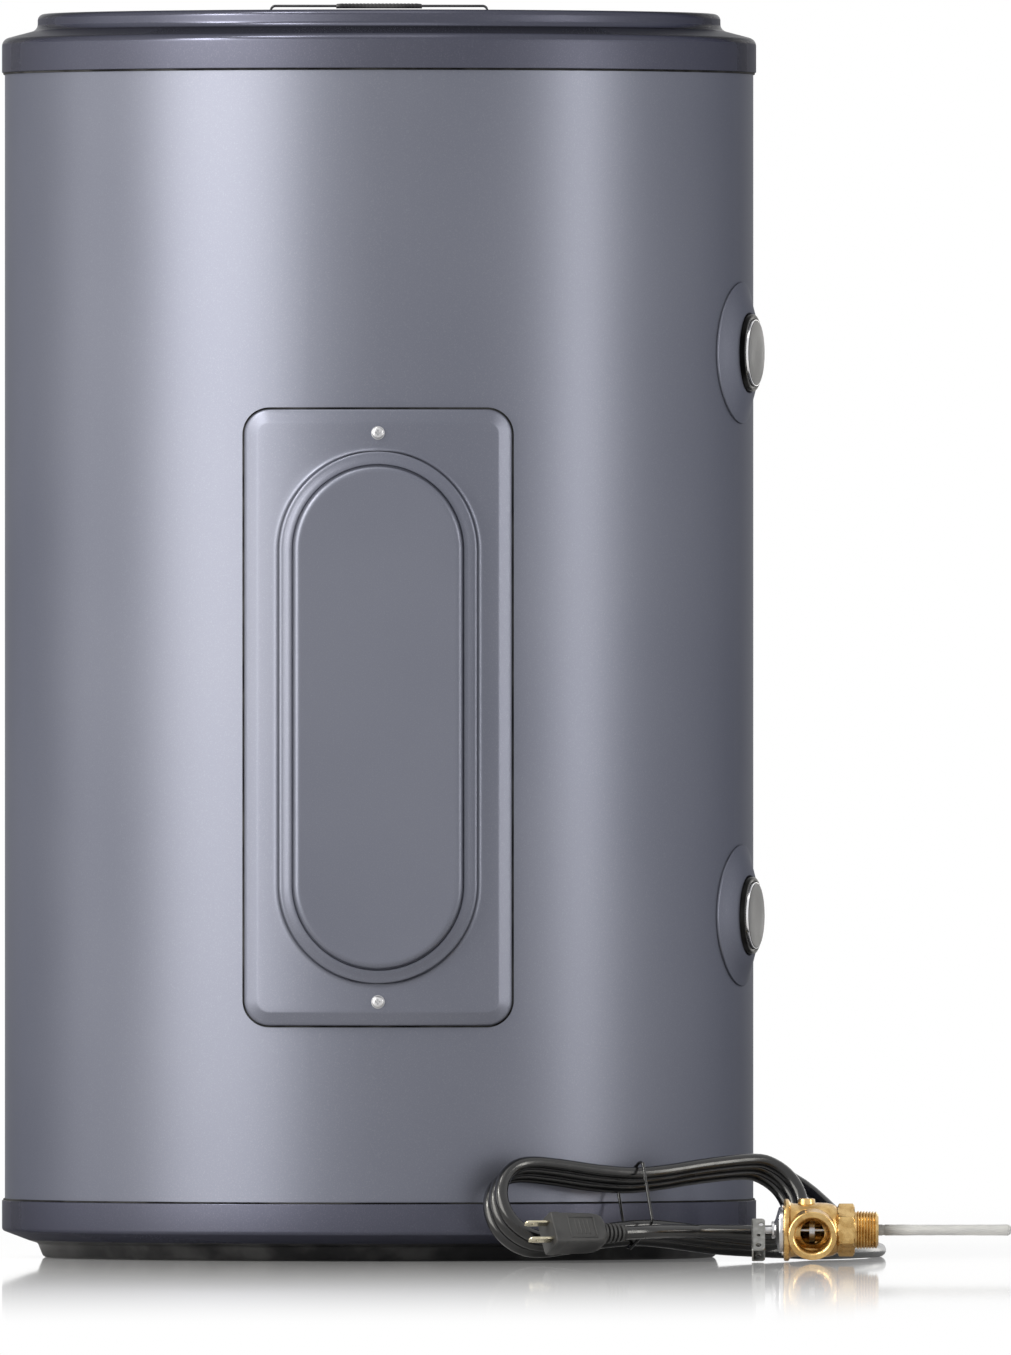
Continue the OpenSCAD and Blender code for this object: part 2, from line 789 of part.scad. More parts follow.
module terminal_screws() {
  color("silver") {
    for (z = [thermostat_z, limit_z], side = [-1, 1], end = [-1, 1])
      translate([side * terminal_x, 0, 0])
        spoke(0, z + end * terminal_up, 3, control_face, control_face + terminal_h);
    for (end = [-1, 1]) spoke(0, element_z + end * 9, 3, hex_face, hex_face + 7);
  }
}

wire_r = 1.5;
wire_f = control_face + terminal_h + wire_r;
wire_rise = 26;

module control_wires() {
  element_f = hex_face + 7 + wire_r;
  low = thermostat_z - terminal_up;
  color("crimson") {
    for (side = [-1, 1]) rod(ahead(side * terminal_x, wire_f, limit_z - terminal_up),
      ahead(side * terminal_x, wire_f, thermostat_z + terminal_up), wire_r);
    wire([ahead(-terminal_x, wire_f, low), ahead(-terminal_x, wire_f + 2, element_z + wire_rise),
      ahead(0, element_f, element_z + 9)], wire_r);
    wire([ahead(terminal_x, wire_f, low), ahead(terminal_x, wire_f + 2, element_z + wire_rise),
      ahead(terminal_x - 1, element_f, element_z - 4), ahead(0, element_f, element_z - 9)], wire_r);
  }
}

// ---- Supply and mains cord ----

gland_azimuth = 122;
gland_z = 65;
gland_neck_r = 8;
gland_nut_r = 13;
gland_end = jacket_r + 29;
cord_r = cord_d / 2;
conduit_r = 4.5;
conduit_ring = (tank_r + jacket_in) / 2;
conduit_x = control_w / 2 + 9;
conduit_azimuth = asin(conduit_x / conduit_ring);
conduit_top = cover_z - liner_l / 2 + 6;
// How far the ball at a bend stands out past the bars that meet in it
joint = 0.2;

// The flexible conduit's way through the foam: round from the gland, then up to the controls
module conduit(r) {
  front = -conduit_ring * cos(conduit_azimuth);
  translate([0, 0, gland_z]) rotate([0, 0, conduit_azimuth - 90])
    rotate_extrude(angle = gland_azimuth - conduit_azimuth, $fn = 180)
      translate([conduit_ring, 0]) circle(r, $fn = 48);
  translate([conduit_x, front, gland_z]) {
    cylinder(r = r, h = conduit_top - gland_z);
    sphere(r + joint);
  }
  spoke(gland_azimuth, gland_z, r, conduit_ring, jacket_r - 14);
  outward(gland_azimuth, gland_z, conduit_ring) sphere(r + joint);
}

module supply_wires() {
  f = conduit_ring * cos(conduit_azimuth);
  top = limit_z + terminal_up;
  color("dimgray") {
    conduit(conduit_r);
    wire([ahead(conduit_x - 2, f, conduit_top - over), ahead(conduit_x - 2, f, top + 4),
      ahead(conduit_x - 2, wire_f, top + 10), ahead(terminal_x, wire_f, top)], wire_r);
    wire([ahead(conduit_x + 2, f, conduit_top - over), ahead(conduit_x + 2, f, top + 8),
      ahead(conduit_x + 2, wire_f, top + 14), ahead(-terminal_x, wire_f, top + 14),
      ahead(-terminal_x, wire_f, top)], wire_r);
  }
}

module cord_gland() {
  flange_t = 3;
  inner = jacket_r - 14;
  color("black") difference() {
    union() {
      spoke(gland_azimuth, gland_z, gland_neck_r, inner, jacket_r + flange_t);
      difference() {
        spoke(gland_azimuth, gland_z, gland_nut_r, tank_r, jacket_r + flange_t);
        drum(jacket_r + running, 0, body_h, $fn = 180);
      }
      spoke(gland_azimuth, gland_z, gland_nut_r, inner, inner + 6);
      outward(gland_azimuth, gland_z, jacket_r + flange_t)
        cylinder(r1 = 9.5, r2 = cord_r + 1.4, h = gland_end - jacket_r - flange_t);
    }
    spoke(gland_azimuth, gland_z, cord_r + running, inner - over, gland_end + over);
  }
}

// Route of the loose stretch, from the gland down to the floor and round to the hank, as
// azimuth, distance out from the jacket and height
run_route = [[122, 21, 65], [121.9, 29.1, 65], [121.5, 53.6, 62], [118.1, 75.8, 48], [112, 87.5, 25],
  [105.1, 91.2, 8.5], [98.2, 90.6, 5], [90, 88, 5], [82.1, 86.3, 5], [74, 85.5, 5],
  [67, 85.7, 5], [61.8, 82.9, 5], [57.3, 76.7, 6], [53.6, 68.4, 7]];
run_points = [for (p = run_route) let (r = jacket_r + p.y) [r * sin(p.x), -r * cos(p.x), p.z]];

hank_yaw = 28;
hank_shift = 53;
hank_pitch = cord_d + 0.1;
hank_t = hank_turns * hank_pitch + cord_d;
hank_loop_r = hank_w / 2;
hank_waist = 24;
hank_out = jacket_r + 0.4 + hank_w * sin(hank_lean);
tie_u = -8;
tie_d = 2.6;

// Frame of the leaning hank: X along it, Y up its slope, Z towards its front
module hank_frame() {
  rotate([0, 0, hank_yaw]) translate([hank_shift, -hank_out, 0.2]) rotate([90 - hank_lean, 0, 0]) children();
}

module cord_run() {
  color("black") sweep(smooth(run_points), cord_r, 10);
}

module cord_hank() {
  loop_u = hank_l / 2 - hank_loop_r;
  color("black") hank_frame() linear_extrude(hank_t) {
    for (side = [-1, 1]) translate([side * loop_u, hank_loop_r]) circle(hank_loop_r);
    polygon([[-loop_u, 0], [tie_u, hank_loop_r - hank_waist], [loop_u, 0], [loop_u, hank_w],
      [tie_u, hank_loop_r + hank_waist], [-loop_u, hank_w]]);
  }
}

plug_l = 42;
plug_w = 25;
plug_t = 22;
plug_u = -79;
plug_v = -3.5;
relief_l = 18;
tail_m = hank_t + gap + plug_t / 2;

// Route of the tail in the hank's frame, from its front layer to the plug
tail_points = [[34, 6, hank_t - 5], [20, 4.5, hank_t - 2], [0, 1.5, hank_t + 4], [-20, -2, tail_m - 1.5],
  [plug_u + plug_l / 2 + relief_l, plug_v, tail_m]];

module cord_tail() {
  color("black") hank_frame() sweep(smooth(tail_points), cord_r, 10);
}

module cord_tie() {
  h = 2 * hank_waist + 6 * gap;
  t = hank_t + cord_d + 2 * gap;
  color("black") hank_frame() translate([tie_u - tie_d / 2, hank_loop_r, t / 2 - gap]) rotate([90, 0, 90])
    linear_extrude(tie_d) difference() {
      round_rect(h + 2 * tie_d, t + 2 * tie_d, 6);
      round_rect(h, t, 4);
    }
}

module plug_body() {
  color("black") hank_frame() {
    translate([plug_u, plug_v, hank_t + gap]) linear_extrude(plug_t) round_rect(plug_l, plug_w, 3);
    translate([plug_u + plug_l / 2, plug_v, tail_m]) rotate([0, 90, 0])
      cylinder(r1 = 8, r2 = cord_r + 1, h = relief_l);
  }
}

module plug_blades() {
  blade_l = 18;
  color("silver") hank_frame() for (side = [-1, 1])
    translate([plug_u - plug_l / 2 - blade_l, plug_v + side * 6.35 - 0.75, tail_m])
      cube([blade_l, 1.5, 6.35]);
}

// ---- Relief valve, lying loose on the floor ----

flange_r = 21.7;
valve_x = jacket_r - 2.5;
valve_y = 10 - jacket_r;
valve_z = flange_r + 0.3;
lever_t = 2;
pin_x = 6.5;
pin_r = 1.5;
bonnet_x = pin_x + 7;
flange_x = 22;
body_end = valve_l - 28.5;
hex_end = valve_l - 16.5;
outlet_x = 42;
outlet_r = 17;
outlet_dip = 6;
outlet_bore_l = 21;
passage_r = 8.5;
chamber_r = 12;
seat_x = 44;
lever_roll = 48;
stem_rod_r = 2.5;

// Frame of the valve: Z along its axis from the lever to the probe
module valve_frame(at = 0) {
  translate([valve_x + at, valve_y, valve_z]) rotate([0, 90, 0]) children();
}

// Frame of the lever: its origin is the cross pin, and +X runs along the lever's tail
module lever_frame() {
  valve_frame(pin_x) rotate([0, 0, -lever_roll]) children();
}

module valve_bar(r, from, to) {
  valve_frame(from) cylinder(r = r, h = to - from);
}

module outlet_bar(r, from, to) {
  translate([valve_x + outlet_x, valve_y, valve_z]) rotate([90 + outlet_dip, 0, 0])
    translate([0, 0, from]) cylinder(r = r, h = to - from);
}

module relief_body() {
  color("goldenrod") difference() {
    union() {
      valve_bar(flange_r, flange_x, flange_x + 4);
      valve_bar(valve_d / 2, flange_x + 3, body_end);
      valve_frame(body_end - 1) cylinder(r = 18.5, h = hex_end - body_end + 1, $fn = 6);
      valve_bar(valve_thread_d / 2, hex_end - 1, valve_l);
      outlet_bar(outlet_r, 0, outlet_reach);
      translate([valve_x + outlet_x - 4, valve_y, valve_z]) cylinder(r = 6, h = valve_d / 2 + 3);
    }
    valve_bar(chamber_r, flange_x - over, seat_x);
    valve_bar(passage_r, seat_x - over, valve_l + over);
    outlet_bar(passage_r, 0, outlet_reach);
    outlet_bar(socket_d / 2, outlet_reach - outlet_bore_l, outlet_reach + over);
  }
}

module relief_bonnet() {
  color("silver") difference() {
    union() {
      valve_bar(16, flange_x - 3, flange_x);
      valve_frame(bonnet_x + 2) cylinder(r1 = 7, r2 = 16, h = flange_x - 3 - bonnet_x - 2);
      valve_bar(6, bonnet_x, bonnet_x + 3);
      valve_bar(chamber_r - running, flange_x - 1, flange_x + 3);
    }
    valve_bar(stem_rod_r + running, bonnet_x - over, flange_x + 4);
  }
}

module relief_stem() {
  color("silver") {
    valve_bar(stem_rod_r, pin_x - 2.4, valve_l - 4);
    valve_bar(10.5, seat_x - 4, seat_x - 0.3);
    lever_frame() rotate([90, 0, 0]) cylinder(r = pin_r, h = 10.4, center = true);
  }
}

// Lever: a strap with a round tail, and two cheeks that hold the cross pin
module relief_lever() {
  w = 11;
  cheek_t = 1.6;
  head = 6;
  tail = lever_l - head;
  color("silver") lever_frame() difference() {
    union() {
      translate([-head, -w / 2, -pin_x]) cube([tail + head - w / 2, w, lever_t]);
      translate([tail - w / 2, 0, -pin_x]) cylinder(d = w, h = lever_t);
      for (side = [-1, 1]) translate([0, side * (w / 2 - cheek_t / 2), 0]) {
        rotate([90, 0, 0]) cylinder(r = 4.4, h = cheek_t, center = true);
        translate([0, 0, -pin_x / 2]) cube([8.8, cheek_t, pin_x], center = true);
      }
    }
    rotate([90, 0, 0]) cylinder(r = pin_r + running, h = 2 * w, center = true);
    translate([tail - w / 2, 0, -pin_x - over]) cylinder(r = 2, h = lever_t + 2 * over);
  }
}

module relief_probe() {
  color("white") {
    valve_bar(probe_d / 2, valve_l - 4, valve_l + probe_l - probe_d / 2);
    valve_frame(valve_l + probe_l - probe_d / 2) sphere(d = probe_d);
  }
}

base_pan();
base_block();
jacket();
jacket_seam();
lid();
top_pad();
side_foam();
tank_shell();
tank_top_head();
tank_bottom_head();
anode_plug();
anode_rod();
handle_guides();
handle_bar();
handle_grip();
handle_stops();
access_cover();
cover_screws();
cover_clips();
cover_pad();
access_liner();
hot_socket();
cold_socket();
hot_tube();
cold_tube();
hot_collar();
cold_collar();
hot_ring();
cold_ring();
hot_cap();
cold_cap();
relief_socket();
rear_collars();
drain_body();
drain_ball();
drain_lever();
element_socket();
element_gasket();
element_plug();
element_loop();
control_bracket();
thermostat_body();
thermostat_dial();
limit_body();
reset_button();
terminal_screws();
control_wires();
supply_wires();
cord_gland();
cord_run();
cord_hank();
cord_tail();
cord_tie();
plug_body();
plug_blades();
relief_body();
relief_bonnet();
relief_stem();
relief_lever();
relief_probe();
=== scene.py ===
"""Dressed model of an electric storage water heater: paint, plastics, metals, cord and valve.

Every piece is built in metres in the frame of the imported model. The front is -Y and the
floor is z = 0.
"""

import math

import bmesh
import bpy
from mathutils import Matrix, Vector


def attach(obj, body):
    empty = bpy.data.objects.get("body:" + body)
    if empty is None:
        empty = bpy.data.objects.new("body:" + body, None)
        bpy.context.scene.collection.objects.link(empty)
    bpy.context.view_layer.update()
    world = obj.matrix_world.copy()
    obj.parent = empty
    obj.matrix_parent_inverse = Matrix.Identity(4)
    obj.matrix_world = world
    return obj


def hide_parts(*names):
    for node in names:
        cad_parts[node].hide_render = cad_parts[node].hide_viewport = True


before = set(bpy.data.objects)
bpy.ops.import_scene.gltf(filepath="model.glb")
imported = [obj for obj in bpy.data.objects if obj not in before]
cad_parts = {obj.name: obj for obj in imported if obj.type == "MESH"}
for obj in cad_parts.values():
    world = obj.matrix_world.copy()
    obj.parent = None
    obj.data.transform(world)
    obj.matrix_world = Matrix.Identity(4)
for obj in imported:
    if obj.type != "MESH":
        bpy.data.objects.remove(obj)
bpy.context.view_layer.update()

bl_info = {
    "name": "Tank Water Heater",
    "version": (1, 0, 0),
    "blender": (4, 5, 0),
    "location": "3D View > Sidebar > Water Heater",
    "description": "Builds a round electric water heater with its cord and relief valve",
    "category": "Add Mesh",
}

# ---- Places and sizes from the part's own values, in metres and degrees ----

JACKET_R = 0.262
RIM_R = 0.264
BODY_TOP = 0.870
LID_Z = 0.829
BASE_Z = 0.040
BAND_Z = 0.019
FOOT_R = 0.235
COVER_Z = 0.378
PLATE_R = 0.270
LIP_Y = 0.273
FACE_Y = 0.284
SCREW_Z = (0.1805, 0.5755)
DIAL_Z = 0.385
PORT_AZIMUTH = 75
PORT_Z = {"hot": 0.6325, "cold": 0.2395}
RING_FACE = JACKET_R + 0.0095
CAP_FACE = JACKET_R + 0.013
RELIEF_AZIMUTH = 150
RELIEF_Z = 0.700
LEG_X = 0.07575
HANDLE_TOP = 0.8766
GLAND_AZIMUTH = 122
GLAND_Z = 0.065
GLAND_END = JACKET_R + 0.029
DRAIN_AZIMUTH = 180
DRAIN_Z = 0.088
DRAIN_Y = JACKET_R + 0.020
VALVE = Vector((0.2595, -0.252, 0.022))
LEVER_ROLL = 48
OUTLET_X = 0.042
OUTLET_DIP = 6
HANK_SLOPE = 62
HANK_AZIMUTH = 28
HANK_PLACE = (0.053, -0.293854, 0.0002)

# ---- The stage's own values, in metres ----

LAMP_COLOUR = (1.0, 0.975, 0.91)
CAMERA_PLACE = (0.0885, -31.6, 0.4057)
FRAME_HEIGHT = 0.9486
FLOOR_R = 6.0
FLOOR_FADE = (-0.2, 3.4)


def srgb(red, green, blue):
    """A colour as seen on a screen, turned into the light values that shaders use."""
    return tuple(
        c / 12.92 if c <= 0.04045 else ((c + 0.055) / 1.055) ** 2.4 for c in (red, green, blue)
    )


def colour_setting(name, red, green, blue, description):
    return bpy.props.FloatVectorProperty(
        name=name,
        description=description,
        subtype="COLOR",
        size=3,
        min=0.0,
        max=1.0,
        default=srgb(red, green, blue),
    )


def length_setting(name, value, low, high, description):
    return bpy.props.FloatProperty(
        name=name,
        description=description,
        subtype="DISTANCE",
        unit="LENGTH",
        default=value,
        min=low,
        max=high,
        precision=4,
    )


def power_setting(name, value, description):
    return bpy.props.FloatProperty(
        name=name,
        description=description,
        subtype="POWER",
        unit="POWER",
        default=value,
        min=0.0,
        max=1000.0,
    )


def share_setting(name, value, description):
    return bpy.props.FloatProperty(
        name=name,
        description=description,
        subtype="FACTOR",
        default=value,
        min=0.0,
        max=1.0,
    )


class HeaterColours(bpy.types.PropertyGroup):
    paint: colour_setting("Jacket paint", 0.42, 0.43, 0.477, "Satin paint of the jacket and cover")
    slate: colour_setting("Lid paint", 0.295, 0.30, 0.35, "Darker paint of the lid and the base")
    brass: colour_setting("Brass", 0.84, 0.71, 0.48, "Cast brass of the relief and drain valves")
    cord: colour_setting("Cord", 0.07, 0.07, 0.075, "Glossy skin of the mains cord")
    plug: colour_setting("Plug", 0.08, 0.08, 0.085, "Matt rubber of the plug")
    cap: colour_setting("Port caps", 0.30, 0.30, 0.305, "Grey plastic of the two port caps")
    foam: colour_setting("Foam", 0.86, 0.80, 0.58, "Poured foam round the tank")
    enamel: colour_setting("Tank enamel", 0.20, 0.27, 0.36, "Outside of the inner tank")


class HeaterSizes(bpy.types.PropertyGroup):
    bevel_width: length_setting(
        "Cover bevel", 0.0085, 0.004, 0.012, "Width of the sloping edge round the access cover"
    )
    panel_round: length_setting(
        "Panel rounding", 0.0026, 0.001, 0.004, "Radius of the raised panel's outer edge"
    )
    rim_round: length_setting(
        "Rim rounding", 0.006, 0.003, 0.008, "Radius of the lid rim's upper edge"
    )
    cord_diameter: length_setting(
        "Cord diameter", 0.0095, 0.008, 0.010, "Diameter of the mains cord"
    )
    thread_pitch: length_setting(
        "Thread pitch", 0.00181, 0.001, 0.003, "Distance between the crests of the pipe threads"
    )


class HeaterWear(bpy.types.PropertyGroup):
    grain: share_setting("Paint grain", 0.5, "Strength of the fine texture in the paint")
    dust: share_setting("Dust", 0.25, "Strength of the soft uneven patches in the finishes")


class HeaterLight(bpy.types.PropertyGroup):
    key: power_setting("Key lamp", 72.0, "Power of the tall soft lamp on the left")
    fill: power_setting("Fill lamp", 24.0, "Power of the tall soft lamp on the right")
    room: share_setting("Room light", 0.12, "Strength of the even light from all round")


# ---- Finishes ----


class Field:
    """A number that varies over a surface. Arithmetic on it adds the nodes it needs."""

    def __init__(self, wiring, socket):
        self.wiring = wiring
        self.socket = socket

    def _math(self, operation, *values, clamp=False):
        settings = {"operation": operation, "use_clamp": clamp}
        node = self.wiring.node("ShaderNodeMath", settings, dict(enumerate(values)))
        return Field(self.wiring, node.outputs[0])

    def __add__(self, other):
        return self._math("ADD", self, other)

    def __sub__(self, other):
        return self._math("SUBTRACT", self, other)

    def __rsub__(self, other):
        return self._math("SUBTRACT", other, self)

    def __mul__(self, other):
        return self._math("MULTIPLY", self, other)

    def __pow__(self, other):
        return self._math("POWER", self, other)

    def __rpow__(self, other):
        return self._math("POWER", other, self)

    __radd__ = __add__
    __rmul__ = __mul__

    def part(self):
        """What is left over from whole numbers."""
        return self._math("FRACT", self)

    def capped(self):
        """The field, kept from 0 to 1."""
        return self._math("ADD", self, 0.0, clamp=True)

    def between(self, low, high, start=0.0, end=1.0):
        """Runs smoothly from start to end as the field goes from low to high."""
        node = self.wiring.node(
            "ShaderNodeMapRange",
            {"interpolation_type": "SMOOTHSTEP", "clamp": True},
            {"Value": self, "From Min": low, "From Max": high, "To Min": start, "To Max": end},
        )
        return Field(self.wiring, node.outputs["Result"])


class Wiring:
    """Adds nodes to the tree of a material or of the world."""

    def __init__(self, owner):
        owner.use_nodes = True
        self.tree = owner.node_tree
        self.tree.nodes.clear()

    def node(self, kind, settings, inputs):
        """A node of this kind, with its settings made first and then its sockets fed."""
        made = self.tree.nodes.new(kind)
        for key, value in settings.items():
            setattr(made, key, value)
        for key, value in inputs.items():
            self.feed(made, key, value)
        return made

    def feed(self, node, key, value):
        """Links a value to one of a node's sockets, or sets the socket to it."""
        socket = node.inputs[key.replace("_", " ") if isinstance(key, str) else key]
        if isinstance(value, Field):
            value = value.socket
        if isinstance(value, bpy.types.NodeSocket):
            self.tree.links.new(value, socket)
        elif isinstance(value, tuple) and socket.type == "RGBA":
            socket.default_value = (*value, 1.0)
        else:
            socket.default_value = value

    def place(self):
        """Where a point lies on its own piece, which is its place in the frame."""
        return self.node("ShaderNodeTexCoord", {}, {}).outputs["Object"]


class Finish(Wiring):
    """One material, built up from nodes round a single Principled shader."""

    def __init__(self, name, **constants):
        self.material = bpy.data.materials.new(name)
        super().__init__(self.material)
        self.shader = self.node("ShaderNodeBsdfPrincipled", {}, constants)
        self.spot = self.place()
        self.bumps = None

    def set(self, **inputs):
        """Feeds sockets of the shader."""
        for key, value in inputs.items():
            self.feed(self.shader, key, value)

    # -- fields over the surface --

    def stretched(self, x, y, z):
        """The place on the piece, with each direction scaled."""
        node = self.node("ShaderNodeVectorMath", {"operation": "MULTIPLY"}, {0: self.spot, 1: (x, y, z)})
        return node.outputs[0]

    def noise(self, size, detail=3.0, roughness=0.55, place=None):
        """Soft uneven patches about this many metres across."""
        node = self.node(
            "ShaderNodeTexNoise",
            {"noise_dimensions": "3D"},
            {
                "Vector": place or self.spot,
                "Scale": 1.0 / size,
                "Detail": detail,
                "Roughness": roughness,
            },
        )
        return Field(self, node.outputs["Fac"])

    def cells(self, size):
        """Rounded cells about this many metres across."""
        inputs = {"Vector": self.spot, "Scale": 1.0 / size}
        node = self.node("ShaderNodeTexVoronoi", {"feature": "F1"}, inputs)
        return Field(self, node.outputs["Distance"])

    def axis(self, letter):
        """How far a point lies along one axis of the frame."""
        node = self.node("ShaderNodeSeparateXYZ", {}, {0: self.spot})
        return Field(self, node.outputs["XYZ".index(letter)])

    def facing_up(self):
        """1 on a level top, 0 on an upright wall and less than 0 underneath."""
        facing = self.node("ShaderNodeTexCoord", {}, {}).outputs["Normal"]
        node = self.node("ShaderNodeSeparateXYZ", {}, {0: facing})
        return Field(self, node.outputs[2])

    def mix(self, share, first, second):
        """A colour between two colours, by a field."""
        node = self.node(
            "ShaderNodeMix",
            {"data_type": "RGBA", "clamp_factor": True},
            {0: share, 6: first, 7: second},
        )
        return node.outputs[2]

    def bump(self, height, distance, strength=1.0):
        """Raises the surface by up to this many metres. Later calls add to earlier ones."""
        inputs = {"Height": height, "Distance": distance, "Strength": strength}
        if self.bumps is not None:
            inputs["Normal"] = self.bumps
        self.bumps = self.node("ShaderNodeBump", {}, inputs).outputs["Normal"]
        return self

    def done(self):
        """The finished material."""
        if self.bumps is not None:
            self.feed(self.shader, "Normal", self.bumps)
        self.node("ShaderNodeOutputMaterial", {}, {"Surface": self.shader.outputs["BSDF"]})
        return self.material


def lighter(colour, share):
    """A colour, moved this share of the way to white."""
    return tuple(c + (1.0 - c) * share for c in colour)


def darker(colour, share):
    """A colour, moved this share of the way to black."""
    return tuple(c * (1.0 - share) for c in colour)


def satin_paint(name, colour, wear, roughness, flake, polish=0.0):
    """Baked metallic paint with a fine orange-peel skin, smoother where it faces upwards."""
    f = Finish(name, Metallic=0.80, Specular_IOR_Level=0.12, Specular_Tint=(0.2, 0.2, 0.2))
    patches = f.noise(0.22, 2.0)
    peel = f.noise(0.0016, 2.0, 0.5)
    speck = f.noise(0.0008, 1.0)
    shade = f.mix(patches.between(0.3, 0.7), darker(colour, 0.06 * wear.dust), lighter(colour, 0.01))
    shade = f.mix(speck.between(0.52, 0.75, 0.0, flake), shade, lighter(colour, 0.3))
    gloss = patches.between(0.25, 0.75, roughness - 0.01, roughness + 0.01)
    if polish:
        rise = f.facing_up()
        gloss = gloss - polish * rise.between(0.10, 0.35) * rise.between(0.93, 0.99, 1.0, 0.0)
    f.set(Base_Color=shade, Roughness=gloss)
    f.bump(peel, 0.00005, 0.35 * wear.grain)
    return f.done()


def cast_brass(name, colour):
    """Sand-cast brass: warm, a little pitted, duller in soft patches."""
    f = Finish(name)
    patches = f.noise(0.010, 4.0, 0.6)
    pits = f.noise(0.0008, 3.0, 0.6)
    dull = (colour[0] * 0.72, colour[1] * 0.65, colour[2] * 0.54)
    shade = f.mix(patches.between(0.36, 0.62), dull, colour)
    f.set(Base_Color=shade, Metallic=0.92, Roughness=patches.between(0.3, 0.7, 0.31, 0.19))
    f.bump(pits, 0.00010, 0.35).bump(patches, 0.0003, 0.2)
    return f.done()


def plated_steel(name, colour, roughness):
    """Zinc-plated or bright steel with a faint crystal mottle."""
    f = Finish(name)
    mottle = f.cells(0.004)
    soft = f.noise(0.02, 3.0)
    shade = f.mix(mottle.between(0.1, 0.7), lighter(colour, 0.06), darker(colour, 0.08))
    gloss = soft.between(0.3, 0.7, roughness - 0.05, roughness + 0.08)
    f.set(Base_Color=shade, Metallic=1.0, Roughness=gloss)
    f.bump(f.noise(0.0012, 2.0), 0.00003, 0.3)
    return f.done()


def brushed_steel(name, colour):
    """Stainless strap, brushed along its length."""
    f = Finish(name)
    lines = f.noise(0.001, 2.0, 0.6, place=f.stretched(0.03, 1.0, 1.0))
    shade = f.mix(lines.between(0.3, 0.7), darker(colour, 0.12), lighter(colour, 0.1))
    f.set(Base_Color=shade, Metallic=1.0, Roughness=lines.between(0.3, 0.7, 0.26, 0.40))
    f.bump(lines, 0.00003, 0.5)
    return f.done()


def tank_enamel(name, colour):
    """Rolled steel with a dark primer and heat-tinted patches."""
    f = Finish(name, Specular_IOR_Level=0.45)
    patches = f.noise(0.09, 4.0, 0.6)
    scale = f.noise(0.006, 5.0, 0.7)
    shade = f.mix(patches.between(0.4, 0.7), colour, darker(colour, 0.4))
    shade = f.mix(scale.between(0.6, 0.75, 0.0, 0.35), shade, (0.12, 0.07, 0.045))
    f.set(Base_Color=shade, Metallic=0.35, Roughness=scale.between(0.3, 0.7, 0.38, 0.6))
    f.bump(scale, 0.0001, 0.4)
    return f.done()


def poured_foam(name, colour):
    """Closed-cell foam with open bubbles where it was cut, and painted shade in the bubbles' hollows."""
    f = Finish(name, Specular_IOR_Level=0.25, Roughness=0.85)
    bubbles = f.cells(0.0032)
    small = f.cells(0.0011)
    stain = f.noise(0.08, 3.0)
    shade = f.mix(stain.between(0.35, 0.7), colour, darker(colour, 0.18))
    # Painted shade: darker towards the middle of each bubble, where its hollow lies
    shade = f.mix(bubbles.between(0.0, 0.35, 0.45, 0.0), shade, darker(colour, 0.45))
    f.set(Base_Color=shade)
    f.bump(bubbles, 0.0006, 0.7).bump(small, 0.0002, 0.4)
    return f.done()


def moulded_plastic(name, colour, roughness, grain=0.0007, depth=0.00005, **constants):
    """Injection-moulded plastic with a fine spark-eroded grain."""
    f = Finish(name, **constants)
    patches = f.noise(0.03, 3.0)
    skin = f.noise(grain, 2.0, 0.6)
    shade = f.mix(patches.between(0.35, 0.68), darker(colour, 0.06), lighter(colour, 0.035))
    f.set(Base_Color=shade, Roughness=patches.between(0.3, 0.7, roughness - 0.04, roughness + 0.06))
    f.bump(skin, depth, 0.5)
    return f.done()


def cord_rubber(name, colour):
    """Extruded cord skin: smooth and half glossy, with slow waves along it and a few scuffs."""
    f = Finish(name, Specular_IOR_Level=0.6)
    waves = f.noise(0.024, 1.0)
    scuff = f.noise(0.009, 3.0, 0.6)
    shade = f.mix(scuff.between(0.62, 0.8, 0.0, 0.5), colour, lighter(colour, 0.05))
    f.set(Base_Color=shade, Roughness=scuff.between(0.45, 0.75, 0.20, 0.28))
    f.bump(waves, 0.0006, 0.3)
    return f.done()


def heater_sheath(name):
    """Nickel-plated element sheath, tinted by heat along its length."""
    f = Finish(name, Metallic=1.0)
    heat = f.noise(0.03, 3.0)
    along = f.axis("Y").between(-0.22, 0.05)
    warm = f.mix(heat.between(0.35, 0.65), (0.42, 0.30, 0.20), (0.30, 0.22, 0.30))
    shade = f.mix(along * 0.75, (0.55, 0.52, 0.47), warm)
    f.set(Base_Color=shade, Roughness=heat.between(0.3, 0.7, 0.28, 0.45))
    f.bump(f.noise(0.0008, 3.0), 0.00004, 0.4)
    return f.done()


def sleeved_wire(name):
    """Wire skins: black and red sleeves, told apart by the side that they run on."""
    f = Finish(name, Specular_IOR_Level=0.5)
    side = f.axis("X").between(-0.001, 0.001)
    rub = f.noise(0.004, 3.0)
    shade = f.mix(side, (0.45, 0.030, 0.022), (0.022, 0.022, 0.025))
    shade = f.mix(rub.between(0.55, 0.8, 0.0, 0.3), shade, (0.30, 0.29, 0.28))
    f.set(Base_Color=shade, Roughness=rub.between(0.3, 0.7, 0.3, 0.48))
    f.bump(rub, 0.00008, 0.3)
    return f.done()


